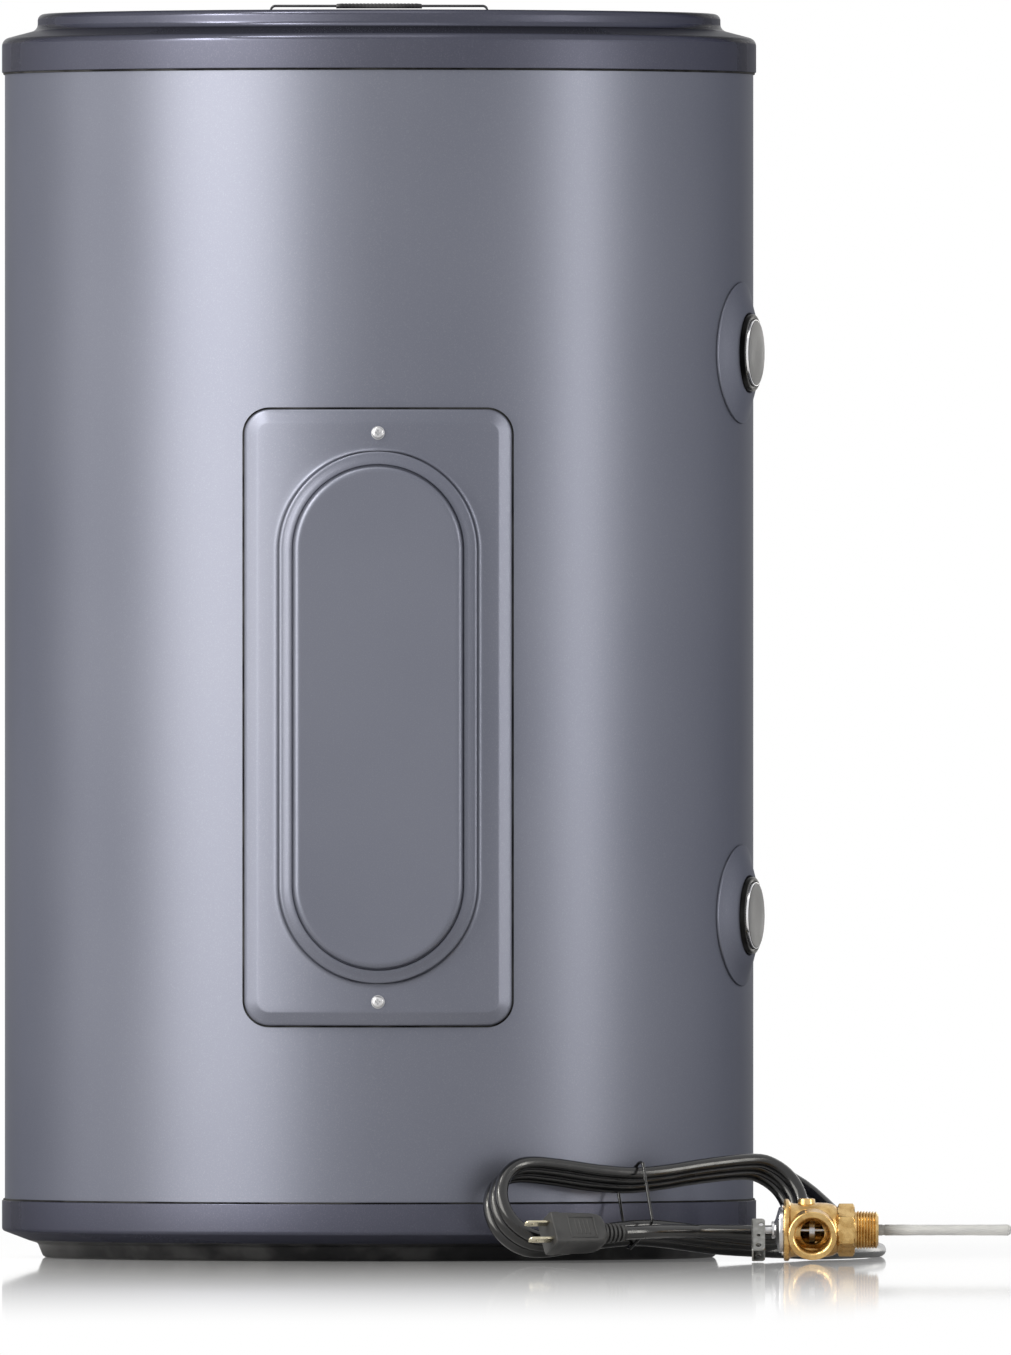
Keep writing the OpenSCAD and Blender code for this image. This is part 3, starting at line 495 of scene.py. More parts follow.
def frosted_probe(name):
    """Whitish plastic sleeve of the valve's probe, darker where the metal shows through."""
    f = Finish(name, Specular_IOR_Level=0.5)
    along = f.axis("X")
    core = f.noise(0.006, 3.0, place=f.stretched(0.25, 1.0, 1.0))
    shade = f.mix(core.between(0.35, 0.7), (0.70, 0.70, 0.69), (0.56, 0.565, 0.57))
    shade = f.mix(along.between(0.352, 0.372, 0.6, 0.0), shade, (0.20, 0.19, 0.17))
    f.set(Base_Color=shade, Roughness=core.between(0.3, 0.7, 0.2, 0.34))
    f.bump(core, 0.00015, 0.4)
    return f.done()


def dial_face(name):
    """Thermostat dial: dark plastic with plain pale ticks round its face."""
    f = Finish(name, Specular_IOR_Level=0.5)
    ticks = 24.0
    x = f.axis("X")
    z = f.axis("Z") - DIAL_Z
    turn = Field(f, f.node("ShaderNodeMath", {"operation": "ARCTAN2"}, {0: z, 1: x}).outputs[0])
    reach = (x * x + z * z) ** 0.5
    tick = (turn * (ticks / math.tau) + 0.5).part().between(0.06, 0.1, 1.0, 0.0)
    band = reach.between(0.0076, 0.0079) * reach.between(0.0098, 0.0101, 1.0, 0.0)
    skin = f.noise(0.0008, 2.0)
    shade = f.mix(tick * band, (0.028, 0.028, 0.030), (0.72, 0.72, 0.70))
    f.set(Base_Color=shade, Roughness=skin.between(0.3, 0.7, 0.36, 0.48))
    f.bump(skin, 0.00004, 0.4)
    return f.done()


def make_finishes(scene):
    """The finish of each material slot that the pieces use."""
    colours, wear = scene.heater_colours, scene.heater_wear
    return {
        "jacket_paint": satin_paint("JacketPaint", tuple(colours.paint), wear, 0.40, 0.10),
        "slate_paint": satin_paint("SlatePaint", tuple(colours.slate), wear, 0.44, 0.08, 0.20),
        "foam": poured_foam("PouredFoam", tuple(colours.foam)),
        "tank_steel": tank_enamel("TankEnamel", tuple(colours.enamel)),
        "bright_steel": plated_steel("BrightSteel", srgb(0.78, 0.78, 0.79), 0.28),
        "strap_steel": brushed_steel("StrapSteel", srgb(0.22, 0.22, 0.23)),
        "aluminium_rod": plated_steel("RodAluminium", srgb(0.70, 0.71, 0.72), 0.5),
        "element_sheath": heater_sheath("ElementSheath"),
        "black_plastic": moulded_plastic("BlackPlastic", srgb(0.10, 0.10, 0.105), 0.34),
        "cap_plastic": moulded_plastic("CapPlastic", tuple(colours.cap), 0.36, Specular_IOR_Level=0.2),
        "white_plastic": moulded_plastic("WhitePlastic", srgb(0.86, 0.85, 0.82), 0.40),
        "phenolic": moulded_plastic("Phenolic", srgb(0.16, 0.13, 0.12), 0.45, 0.0012),
        "red_plastic": moulded_plastic("RedPlastic", srgb(0.70, 0.08, 0.07), 0.35),
        "brass": cast_brass("CastBrass", tuple(colours.brass)),
        "black_rubber": cord_rubber("CordRubber", tuple(colours.cord)),
        "plug_rubber": moulded_plastic("PlugRubber", tuple(colours.plug), 0.52, 0.0009, 0.0001),
        "wire_skin": sleeved_wire("WireSleeves"),
        "probe": frosted_probe("ProbeSleeve"),
        "dial": dial_face("DialFace"),
        "blade_metal": plated_steel("BladeNickel", srgb(0.74, 0.71, 0.62), 0.24),
        "edge_chrome": plated_steel("EdgeChrome", srgb(0.93, 0.93, 0.94), 0.16),
        "lever_steel": plated_steel("LeverSteel", srgb(0.52, 0.52, 0.51), 0.32),
        "gloss_plastic": moulded_plastic(
            "GlossPlastic", srgb(0.02, 0.02, 0.025), 0.18, 0.0012, 0.00002, Specular_IOR_Level=0.03
        ),
        # The foot's near-black colour is partly painted shade: it is as dark as the shade under the band
        "foot_plastic": moulded_plastic(
            "FootBlackAndShade", srgb(0.09, 0.09, 0.10), 0.42, 0.0009, 0.00004, Specular_IOR_Level=0.25
        ),
        # Dark rubber of the added seals, which paint the shade in the joints round the lid, base and cover
        "seal_rubber": moulded_plastic(
            "JointShadeRubber", srgb(0.05, 0.05, 0.055), 0.7, 0.0007, 0.00004, Specular_IOR_Level=0.05
        ),
    }


# ---- Shapes ----

# Edges of a cut piece that turn by more degrees than this are shown sharp
CUT_SHARP = 32
# Radius of the points at the axis of a turned shape, close enough to be welded into one
AXIS_R = 0.00001


def outward(azimuth, z, distance=0.0):
    """Frame whose Z axis points away from the tank's axis, with X level and Y upwards."""
    turn = math.radians(azimuth)
    out = Vector((math.sin(turn), -math.cos(turn), 0.0))
    side = Vector((math.cos(turn), math.sin(turn), 0.0))
    up = out.cross(side)
    axes = Matrix((side, up, out)).transposed().to_4x4()
    axes.translation = out * distance + Vector((0.0, 0.0, z))
    return axes


def hank_frame():
    """Frame of the leaning hank: X along it, Y up its slope, Z towards its front."""
    lean = Matrix.Rotation(math.radians(HANK_SLOPE), 4, "X")
    turn = Matrix.Rotation(math.radians(HANK_AZIMUTH), 4, "Z")
    return turn @ Matrix.Translation(HANK_PLACE) @ lean


def valve_frame():
    """Frame of the loose valve: Z along it from the lever to the probe, X up, Y to the front."""
    axes = Matrix(((0.0, 0.0, 1.0), (0.0, -1.0, 0.0), (1.0, 0.0, 0.0))).to_4x4()
    return Matrix.Translation(VALVE) @ axes


def circle(radius, count):
    """Even points round a circle, in X and Y."""
    turns = [math.tau * k / count for k in range(count)]
    return [(radius * math.cos(a), radius * math.sin(a)) for a in turns]


def rounded(points, radii, steps):
    """A line of points, with each corner that has a radius turned into an arc."""
    line = []
    for i, point in enumerate(points):
        here = Vector(point)
        radius = radii.get(i, 0.0)
        if radius == 0.0 or i in (0, len(points) - 1):
            line.append(here)
            continue
        before = (Vector(points[i - 1]) - here).normalized()
        after = (Vector(points[i + 1]) - here).normalized()
        half = before.angle(after) / 2
        reach = radius / math.tan(half)
        centre = here + (before + after).normalized() * (radius / math.sin(half))
        start = here + before * reach - centre
        end = here + after * reach - centre
        sweep = start.angle(end)
        for k in range(steps + 1):
            a = sweep * k / steps
            line.append(centre + (start * math.sin(sweep - a) + end * math.sin(a)) / math.sin(sweep))
    return line


def new_object(name, mesh, material, smooth_angle=40.0):
    """Turns a bmesh into a shown object, smooth except across sharp edges."""
    bmesh.ops.recalc_face_normals(mesh, faces=mesh.faces)
    limit = math.radians(smooth_angle)
    for face in mesh.faces:
        face.smooth = True
    for edge in mesh.edges:
        edge.smooth = len(edge.link_faces) != 2 or edge.calc_face_angle(0.0) < limit
    data = bpy.data.meshes.new(name)
    mesh.to_mesh(data)
    mesh.free()
    data.materials.append(material)
    made = bpy.data.objects.new(name, data)
    bpy.context.scene.collection.objects.link(made)
    return made


def add_rings(mesh, rings, loop=False, cap_start=False, cap_end=False):
    """Joins closed rows of points into a skin. Each row has the same number of points."""
    rows = [[mesh.verts.new(point) for point in ring] for ring in rings]
    count = len(rows[0])
    pairs = list(zip(rows, rows[1:])) + ([(rows[-1], rows[0])] if loop else [])
    for near, far in pairs:
        for k in range(count):
            n = (k + 1) % count
            mesh.faces.new((near[k], near[n], far[n], far[k]))
    if cap_start:
        mesh.faces.new(reversed(rows[0]))
    if cap_end:
        mesh.faces.new(rows[-1])


def add_lathe(mesh, outline, where, sides, loop=False, capped=False, ripple=None):
    """Turns an outline of (radius, height) points about the Z axis of a frame.

    A ripple gives the radius of each point from its radius, height and angle.
    """
    rings = []
    for radius, height in outline:
        ring = []
        for k in range(sides):
            a = math.tau * k / sides
            r = radius if ripple is None else ripple(radius, height, a)
            ring.append(where @ Vector((r * math.cos(a), r * math.sin(a), height)))
        rings.append(ring)
    add_rings(mesh, rings, loop=loop, cap_start=capped, cap_end=capped)


def add_tube(mesh, path, radius, sides):
    """Sweeps a circle along a path, with the same twist all the way."""
    rings = []
    side = None
    for i, point in enumerate(path):
        ahead = (path[min(i + 1, len(path) - 1)] - path[max(i - 1, 0)]).normalized()
        if side is None:
            side = ahead.cross(Vector((0.0, 0.0, 1.0)))
        side = (side - ahead * side.dot(ahead)).normalized()
        top = side.cross(ahead)
        rings.append([point + side * x + top * y for x, y in circle(radius, sides)])
    add_rings(mesh, rings, cap_start=True, cap_end=True)


def add_box(mesh, where, size, bevel):
    """A block with rounded edges, centred on a frame."""
    made = bmesh.ops.create_cube(mesh, size=1.0, matrix=where @ Matrix.Diagonal((*size, 1.0)))
    edges = list({e for v in made["verts"] for e in v.link_edges})
    bmesh.ops.bevel(mesh, geom=edges, offset=bevel, segments=2, profile=0.5, affect="EDGES")


def turned(name, outline, where, sides, finish, angle, on_axis=False):
    """An object with one outline, turned about the Z axis of a frame.

    The outline either starts and ends on the axis, where its points are welded into one, or is
    joined end to end.
    """
    mesh = bmesh.new()
    add_lathe(mesh, outline, where, sides, loop=not on_axis)
    if on_axis:
        bmesh.ops.remove_doubles(mesh, verts=mesh.verts, dist=0.00003)
    return new_object(name, mesh, finish_named(finish), angle)


def rod_cutter(finish, where, radius, start, end, sides):
    """A plain rod along the Z axis of a frame, to be cut out of another piece."""
    mesh = bmesh.new()
    add_lathe(mesh, [(radius, start), (radius, end)], where, sides, capped=True)
    return new_object("RodCutter", mesh, finish_named(finish))


def cut_away(piece, cutters):
    """Takes the cutters' shapes out of a closed piece, and removes the cutters."""
    for cutter in cutters:
        step = piece.modifiers.new("Cut", "BOOLEAN")
        step.operation = "DIFFERENCE"
        step.solver = "EXACT"
        step.object = cutter
    bpy.context.view_layer.update()
    view = bpy.context.evaluated_depsgraph_get()
    cut = bpy.data.meshes.new_from_object(piece.evaluated_get(view))
    cut.set_sharp_from_angle(angle=math.radians(CUT_SHARP))
    piece.modifiers.clear()
    piece.data = cut
    for cutter in cutters:
        bpy.data.objects.remove(cutter)


def cut_shell(outline, where, sides, ripple, cutter):
    """A mesh to build on: a turned brass shell, with a cutter's shape taken out of it alone."""
    shell = bmesh.new()
    add_lathe(shell, outline, where, sides, loop=True, ripple=ripple)
    cast = new_object("Shell", shell, finish_named("CastBrass"))
    cut_away(cast, [cutter])
    mesh = bmesh.new()
    mesh.from_mesh(cast.data)
    bpy.data.objects.remove(cast)
    return mesh


def curve_through(points, steps):
    """Points on a smooth curve through the chosen ones, with so many steps to each stretch."""
    line = []
    for i in range(len(points) - 1):
        a, b = points[max(i - 1, 0)], points[i]
        c, d = points[i + 1], points[min(i + 2, len(points) - 1)]
        for k in range(steps):
            t = k / steps
            line.append(
                0.5
                * (
                    2 * b
                    + (c - a) * t
                    + (2 * a - 5 * b + 4 * c - d) * t * t
                    + (3 * b - a - 3 * c + d) * t * t * t
                )
            )
    line.append(points[-1].copy())
    return line


def length_of(path):
    """How long a line through points is."""
    return sum((b - a).length for a, b in zip(path, path[1:]))


def settle(piece, body, slot_name, *nodes):
    """Sets a new piece on its body, in the place of the solids that it stands for."""
    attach(piece, body)
    if nodes:
        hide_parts(*nodes)
    return piece


def finish_named(name):
    """A finish made earlier, by its name."""
    material = bpy.data.materials.get(name)
    if material is None:
        raise RuntimeError("the finish " + name + " has to be made before the pieces that wear it")
    return material


def box_distance(x, z, half_w, half_h, radius):
    """How far a point lies outside a rectangle with round corners."""
    dx = abs(x) - half_w + radius
    dz = abs(z) - half_h + radius
    return math.hypot(max(dx, 0.0), max(dz, 0.0)) + min(max(dx, dz), 0.0) - radius


# ---- Stage ----


def add_lamp(name, azimuth, distance, height, width, tall, power, aim=0.42):
    """A soft lamp that stands round the object at an azimuth and faces it."""
    turn = math.radians(azimuth)
    data = bpy.data.lights.new(name, "AREA")
    data.shape = "RECTANGLE"
    data.size = width
    data.size_y = tall
    data.energy = power
    data.color = LAMP_COLOUR
    lamp = bpy.data.objects.new(name, data)
    lamp.location = (distance * math.sin(turn), -distance * math.cos(turn), height)
    aimed = Vector((0.0, 0.0, aim)) - lamp.location
    lamp.rotation_mode = "QUATERNION"
    lamp.rotation_quaternion = aimed.to_track_quat("-Z", "Y")
    bpy.context.scene.collection.objects.link(lamp)


def seen_directly(wiring):
    """1 for the rays that show a surface straight, in a mirror or through glass."""
    path = wiring.node("ShaderNodeLightPath", {}, {})
    total = Field(wiring, path.outputs["Is Camera Ray"])
    for ray in ("Is Glossy Ray", "Is Transmission Ray"):
        total = total + Field(wiring, path.outputs[ray])
    return total.capped()


class HEATER_OT_stage(bpy.types.Operator):
    """Makes the camera, the lamps, the pale floor and the white surroundings"""

    bl_idname = "heater.stage"
    bl_label = "Stage"

    def execute(self, context):
        scene = context.scene
        self.make_camera(scene)
        self.make_lamps(scene.heater_light)
        self.make_room(scene, scene.heater_light.room)
        self.make_floor()
        return {"FINISHED"}

    def make_camera(self, scene):
        """A long lens far in front, so upright and level lines stay straight."""
        away = -CAMERA_PLACE[1]
        data = bpy.data.cameras.new("FrontCamera")
        data.sensor_width = 36.0
        data.lens = data.sensor_width * away / FRAME_HEIGHT
        data.clip_start = 1.0
        data.clip_end = away + FLOOR_R + 10.0
        camera = bpy.data.objects.new("FrontCamera", data)
        camera.location = CAMERA_PLACE
        camera.rotation_euler = (math.radians(90), 0.0, 0.0)
        scene.collection.objects.link(camera)
        scene.camera = camera
        scene.view_settings.view_transform = "Standard"

    def make_lamps(self, light):
        """Soft lamps round the heater, of which two stand over it."""
        add_lamp("KeyLamp", -47, 2.6, 0.80, 1.9, 2.4, light.key)
        add_lamp("ReliefLamp", -56, 2.2, 2.00, 0.40, 0.5, light.key * 0.35)
        add_lamp("FillLamp", 62, 2.8, 0.60, 0.40, 2.0, light.fill)
        add_lamp("LeftLamp", -98, 2.8, 0.60, 0.7, 2.0, light.fill * 0.3)
        add_lamp("RightBackLamp", 150, 2.8, 0.70, 0.5, 2.0, light.fill * 0.2)
        add_lamp("LeftBackLamp", -140, 2.8, 0.80, 0.7, 1.8, light.fill * 0.3)
        add_lamp("TopLamp", 0, 0.9, 2.9, 1.2, 1.2, light.fill * 0.2)
        add_lamp("TopLeftLamp", -45, 1.2, 2.67, 0.5, 0.5, light.fill * 0.5, aim=0.55)

    def make_room(self, scene, strength):
        """Even light from all round, and plain white wherever the surroundings show."""
        scene.world = bpy.data.worlds.new("PaleRoom")
        wiring = Wiring(scene.world)
        pale, white = (0.96, 0.98, 1.0), (1.0, 1.0, 1.0)
        light = wiring.node("ShaderNodeBackground", {}, {"Color": pale, "Strength": strength})
        plain = wiring.node("ShaderNodeBackground", {}, {"Color": white, "Strength": 1.0})
        parts = {0: seen_directly(wiring), 1: light.outputs[0], 2: plain.outputs[0]}
        choice = wiring.node("ShaderNodeMixShader", {}, parts)
        wiring.node("ShaderNodeOutputWorld", {}, {"Surface": choice.outputs[0]})

    def make_floor(self):
        """A pale sheet that keeps the shadow and a faint mirror image, and fades to white."""
        material = bpy.data.materials.new("PaleFloor")
        wiring = Wiring(material)
        flatness = wiring.node("ShaderNodeLayerWeight", {}, {"Blend": 0.5}).outputs["Facing"]
        sheet = wiring.node(
            "ShaderNodeBsdfPrincipled",
            {},
            {
                "Base Color": (0.88, 0.88, 0.89),
                "Roughness": 0.8,
                "Specular IOR Level": 0.0,
                "Coat Weight": Field(wiring, flatness).between(0.93, 0.98),
                "Coat Roughness": 0.03,
            },
        )
        glow = wiring.node("ShaderNodeEmission", {}, {"Color": (1.0, 1.0, 1.0), "Strength": 1.0})
        # The fade is quicker to the sides, so it hides where the key lamp's light ends
        stretch = {0: wiring.place(), 1: (1.6, 1.0, 1.0)}
        wide = wiring.node("ShaderNodeVectorMath", {"operation": "MULTIPLY"}, stretch)
        reach = wiring.node("ShaderNodeVectorMath", {"operation": "LENGTH"}, {0: wide.outputs["Vector"]})
        fade = Field(wiring, reach.outputs["Value"]).between(*FLOOR_FADE)
        parts = {0: seen_directly(wiring) * fade, 1: sheet.outputs[0], 2: glow.outputs[0]}
        choice = wiring.node("ShaderNodeMixShader", {}, parts)
        wiring.node("ShaderNodeOutputMaterial", {}, {"Surface": choice.outputs[0]})
        mesh = bmesh.new()
        rings = [[(x, y, 0.0) for x, y in circle(r, 96)] for r in (0.4, 1.2, 2.5, 4.0, FLOOR_R)]
        add_rings(mesh, rings, cap_start=True)
        new_object("Floor", mesh, material)


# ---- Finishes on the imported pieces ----


class HEATER_OT_finishes(bpy.types.Operator):
    """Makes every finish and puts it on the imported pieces"""

    bl_idname = "heater.finishes"
    bl_label = "Finishes"

    def execute(self, context):
        finishes = make_finishes(context.scene)
        special = {
            "thermostat_dial": "dial",
            "relief_probe": "probe",
            "plug_body": "plug_rubber",
            "plug_blades": "blade_metal",
            "relief_lever": "lever_steel",
        }
        for name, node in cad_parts.items():
            for slot in node.material_slots:
                key = special.get(name, slot.material.name.split(".")[0])
                slot.material = finishes[key]
        return {"FINISHED"}


# ---- Cord ----

# Route of the loose stretch, from the gland down to the floor and round to the hank, as
# azimuth, distance out from the jacket and height, in degrees and millimetres
RUN_ROUTE = (
    (122.0, 21.0, 65.0), (121.9, 29.1, 65.0), (121.5, 53.6, 62.0), (118.1, 75.8, 48.0),
    (112.0, 87.5, 25.0), (105.1, 91.2, 8.5), (98.2, 90.6, 5.0), (90.0, 88.0, 5.0),
    (82.1, 86.3, 5.0), (74.0, 85.5, 5.0), (67.0, 85.7, 5.0), (61.8, 82.9, 5.0),
    (57.3, 76.7, 6.0), (53.6, 68.4, 7.0),
)
# Route of the short end from the hank to the plug, in the hank's frame and in millimetres
TAIL_ROUTE = ((34, 6, 33.3), (20, 4.5, 36.3), (0, 1.5, 42.3), (-20, -2, 48.1), (-40, -3.5, 49.6))
HANK_PITCH = 0.0096
HANK_TURNS = 3
HALF_CORD = 0.00475
# Places in the hank's frame: U lies along it, V up its slope and M towards its front
LOOP_U, LOOP_V, LOOP_R = 0.0875, 0.0335, 0.02875
TIE_U, WAIST = -0.008, 0.0193
PLUG_V, PLUG_M = -0.0035, 0.0496
# The lower strand between the two loops, in the hank's frame, as places along it and distances
# from its middle line. The upper strand mirrors it and runs the other way.
STRAND = ((0.052, 0.0258), (0.018, 0.0211), (TIE_U, WAIST), (-0.036, 0.0218), (-0.064, 0.0264))


def turn_points():
    """One turn of the hank's own line, in its frame: round both loops and in at the tie."""
    line = []
    for side in (1, -1):
        for k in range(7):
            a = math.radians(side * 90 - 180 * k / 6)
            line.append((side * LOOP_U + LOOP_R * math.cos(a), LOOP_V + LOOP_R * math.sin(a)))
        strand = STRAND if side > 0 else reversed(STRAND)
        line += [(u, LOOP_V - side * v) for u, v in strand]
    return line


def cord_route():
    """Every point of the cord from the gland to the plug, in the part's frame."""
    route = []
    for azimuth, out, height in RUN_ROUTE:
        turn = math.radians(azimuth)
        r = JACKET_R + out / 1000
        route.append(Vector((r * math.sin(turn), -r * math.cos(turn), height / 1000)))
    hank = hank_frame()
    points = turn_points()
    count = len(points)
    # The first turn starts just past the right loop, whose last point has this number
    loop_end = 6
    for k in range(1, HANK_TURNS * count + 1):
        u, v = points[(loop_end + k) % count]
        route.append(hank @ Vector((u, v, HALF_CORD + HANK_PITCH * k / count)))
    route += [hank @ (Vector(p) / 1000) for p in TAIL_ROUTE]
    return route


def section(width, height, power, sides):
    """A flat outline between an ellipse and a rectangle, as points in X and Y."""
    ring = []
    for k in range(sides):
        a = math.tau * k / sides
        c, s = math.cos(a), math.sin(a)
        x = math.copysign(abs(c) ** (2 / power), c) * width / 2
        y = math.copysign(abs(s) ** (2 / power), s) * height / 2
        ring.append((x, y))
    return ring


class HEATER_OT_cord(bpy.types.Operator):
    """Makes the mains cord in one run, its tie, its plug and its bushing at the jacket"""

    bl_idname = "heater.cord"
    bl_label = "Cord"

    def execute(self, context):
        plug = self.make_plug()
        blades = self.make_blades()
        tie = self.make_tie()
        bushing = self.make_bushing()
        self.make_cord(context, (plug, blades, tie, bushing))
        return {"FINISHED"}

    def make_cord(self, context, carried):
        diameter = context.scene.heater_sizes.cord_diameter
        path = curve_through(cord_route(), 4)
        data = bpy.data.curves.new("MainsCord", "CURVE")
        data.dimensions = "3D"
        data.bevel_depth = diameter / 2
        data.bevel_resolution = 5
        data.use_fill_caps = True
        data.twist_mode = "MINIMUM"
        spline = data.splines.new("POLY")
        spline.points.add(len(path) - 1)
        for place, point in zip(spline.points, path):
            place.co = (*point, 1.0)
        spline.use_smooth = True
        data.materials.append(finish_named("CordRubber"))
        cord = bpy.data.objects.new("MainsCord", data)
        context.scene.collection.objects.link(cord)
        settle(cord, "heater", "black_rubber", "cord_run", "cord_hank", "cord_tail")
        round(length_of(path), 2)

    def make_plug(self):
        """The plug: a boxy grip with a framed recess on each flank, and a ribbed neck."""
        hank = hank_frame()
        stations = [
            (-0.0999, 0.0228, 0.0198, 9.0), (-0.1000, 0.0236, 0.0206, 9.0), (-0.0995, 0.0246, 0.0216, 9.0),
            (-0.0986, 0.0250, 0.0219, 9.0), (-0.0940, 0.0250, 0.0219, 9.0), (-0.0930, 0.0246, 0.0215, 9.0),
            (-0.0920, 0.0241, 0.0211, 9.0), (-0.0800, 0.0236, 0.0207, 9.0), (-0.0680, 0.0232, 0.0203, 8.0),
            (-0.0630, 0.0226, 0.0198, 6.0), (-0.0600, 0.0212, 0.0188, 4.0), (-0.0586, 0.0186, 0.0172, 3.0),
            (-0.0581, 0.0160, 0.0155, 2.2),
        ]
        for k in range(5):
            u = -0.0576 + 0.0034 * k
            crest = 0.0146 - 0.00070 * k
            root = crest - 0.0030
            stations += [(u, root, root, 2.0), (u + 0.0003, crest, crest, 2.0)]
            stations += [(u + 0.0019, crest, crest, 2.0), (u + 0.0022, root, root, 2.0)]
        stations.append((-0.0400, 0.0106, 0.0106, 2.0))
        mesh = bmesh.new()
        rings = []
        for u, width, height, power in stations:
            outline = section(width, height, power, 56)
            rings.append([hank @ Vector((u, PLUG_V + x, PLUG_M + y)) for x, y in outline])
        add_rings(mesh, rings, cap_start=True, cap_end=True)
        ease = 0.0003
        for side in (-1, 1):
            flank = hank @ Matrix.Translation((-0.0775, PLUG_V, PLUG_M + side * 0.01035))
            for edge in (-1, 1):
                rail = flank @ Matrix.Translation((0.0, edge * 0.0078, 0.0))
                add_box(mesh, rail, (0.0210, 0.0012, 0.0010), ease)
                post = flank @ Matrix.Translation((edge * 0.0100, 0.0, 0.0))
                add_box(mesh, post, (0.0012, 0.0156, 0.0010), ease)
            for k in range(4):
                bar = flank @ Matrix.Translation((-0.0048 + 0.0032 * k, 0.0, -side * 0.0002))
                add_box(mesh, bar, (0.0012, 0.0110, 0.0010), ease)
        plug = new_object("PlugBody", mesh, finish_named("PlugRubber"), 50)
        return settle(plug, "heater", "black_rubber", "plug_body")

    def make_blades(self):
        """Two flat blades with rounded tips and the usual small holes."""
        hank = hank_frame()
        half_wide, half_thick = 0.003175, 0.00075
        outline = []
        for k in range(9):
            a = math.radians(90 + 180 * k / 8)
            outline.append((-0.1158 + 0.0022 * math.cos(a), half_wide * math.sin(a)))
        outline += [(-0.0985, -half_wide), (-0.0985, half_wide)]
        hole = [(-0.1115 + x, y) for x, y in circle(0.0014, len(outline))]
        start = min(range(len(hole)), key=lambda k: (Vector(hole[k]) - Vector(outline[0])).length)
        hole = hole[start:] + hole[:start]
        layers = ((-half_thick, 0.0003), (-0.00045, 0.0), (0.00045, 0.0), (half_thick, 0.0003))
        centre = Vector((-0.108, 0.0))
        mid = PLUG_M + half_wide
        mesh = bmesh.new()
        for side in (-1, 1):
            v = PLUG_V + side * 0.00635
            near, far = (
                [hank @ Vector((x, v + shift, mid + y)) for x, y in hole]
                for shift in (-half_thick, half_thick)
            )
            rings = [near]
            for shift, inset in layers:
                ring = []
                for point in outline:
                    at = Vector(point)
                    at += (centre - at).normalized() * inset
                    ring.append(hank @ Vector((at.x, v + shift, mid + at.y)))
                rings.append(ring)
            add_rings(mesh, rings + [far], loop=True)
        blades = new_object("PlugBlades", mesh, finish_named("BladeNickel"), 35)
        return settle(blades, "heater", "bright_steel", "plug_blades")

    def make_tie(self):
        """A coated wire tie, wound askew round the hank's waist, with its ends twisted."""
        hank = hank_frame()
        mesh = bmesh.new()
        half_v, half_m, round_r, lean = 0.0252, 0.0207, 0.0062, 0.0022
        path = []
        for corner, (side_v, side_m) in enumerate(((1, 1), (-1, 1), (-1, -1), (1, -1))):
            for k in range(6):
                a = math.radians(90 * corner + 90 * k / 5)
                v = side_v * (half_v - round_r) + round_r * math.cos(a)
                m = side_m * (half_m - round_r) + round_r * math.sin(a)
                path.append(hank @ Vector((TIE_U + lean * v / half_v, LOOP_V + v, m + 0.0199)))
        path.append(path[0])
        add_tube(mesh, curve_through(path, 2), 0.0011, 8)
        for shift in (-0.0005, 0.0005):
            end = [Vector((TIE_U + shift, 0.0400, 0.0413)), Vector((TIE_U - shift, 0.0430, 0.0416)),
                   Vector((TIE_U + shift, 0.0462, 0.0414))]
            add_tube(mesh, [hank @ p for p in curve_through(end, 4)], 0.0008, 8)
        tie = new_object("CordTie", mesh, finish_named("CordRubber"), 60)
        return settle(tie, "heater", "black_rubber", "cord_tie")

    def make_bushing(self):
        """The bushing at the jacket: a flange, a nut inside it and a ribbed sleeve that tapers."""
        inner = JACKET_R - 0.014
        nut = [(0.0049, inner), (0.0124, inner), (0.0130, inner + 0.0006), (0.0130, inner + 0.0054),
               (0.0124, inner + 0.006), (0.0080, inner + 0.006), (0.0080, JACKET_R + 0.0001)]
        flange = [(0.0125, JACKET_R + 0.0001), (0.0125, JACKET_R + 0.0022), (0.0118, JACKET_R + 0.003),
                  (0.0097, JACKET_R + 0.003)]
        ribs, thick_end, thin_end, groove = 9, 0.0095, 0.00615, 0.0011
        start = JACKET_R + 0.003
        step = (GLAND_END - start) / ribs
        sleeve = []
        for k in range(ribs):
            z = start + (GLAND_END - start) * k / ribs
            crest = thick_end + (thin_end - thick_end) * k / ribs
            root = crest - groove
            sleeve += [(crest, z), (crest, z + step * 0.62), (root, z + step * 0.7), (root, z + step * 0.95)]
        sleeve += [(0.0058, GLAND_END - 0.0004), (0.0049, GLAND_END)]
        where = outward(GLAND_AZIMUTH, GLAND_Z)
        bushing = turned("CordBushing", nut + flange + sleeve, where, 64, "BlackPlastic", 35)
        return settle(bushing, "heater", "black_plastic", "cord_gland")


# ---- Cabinet ----


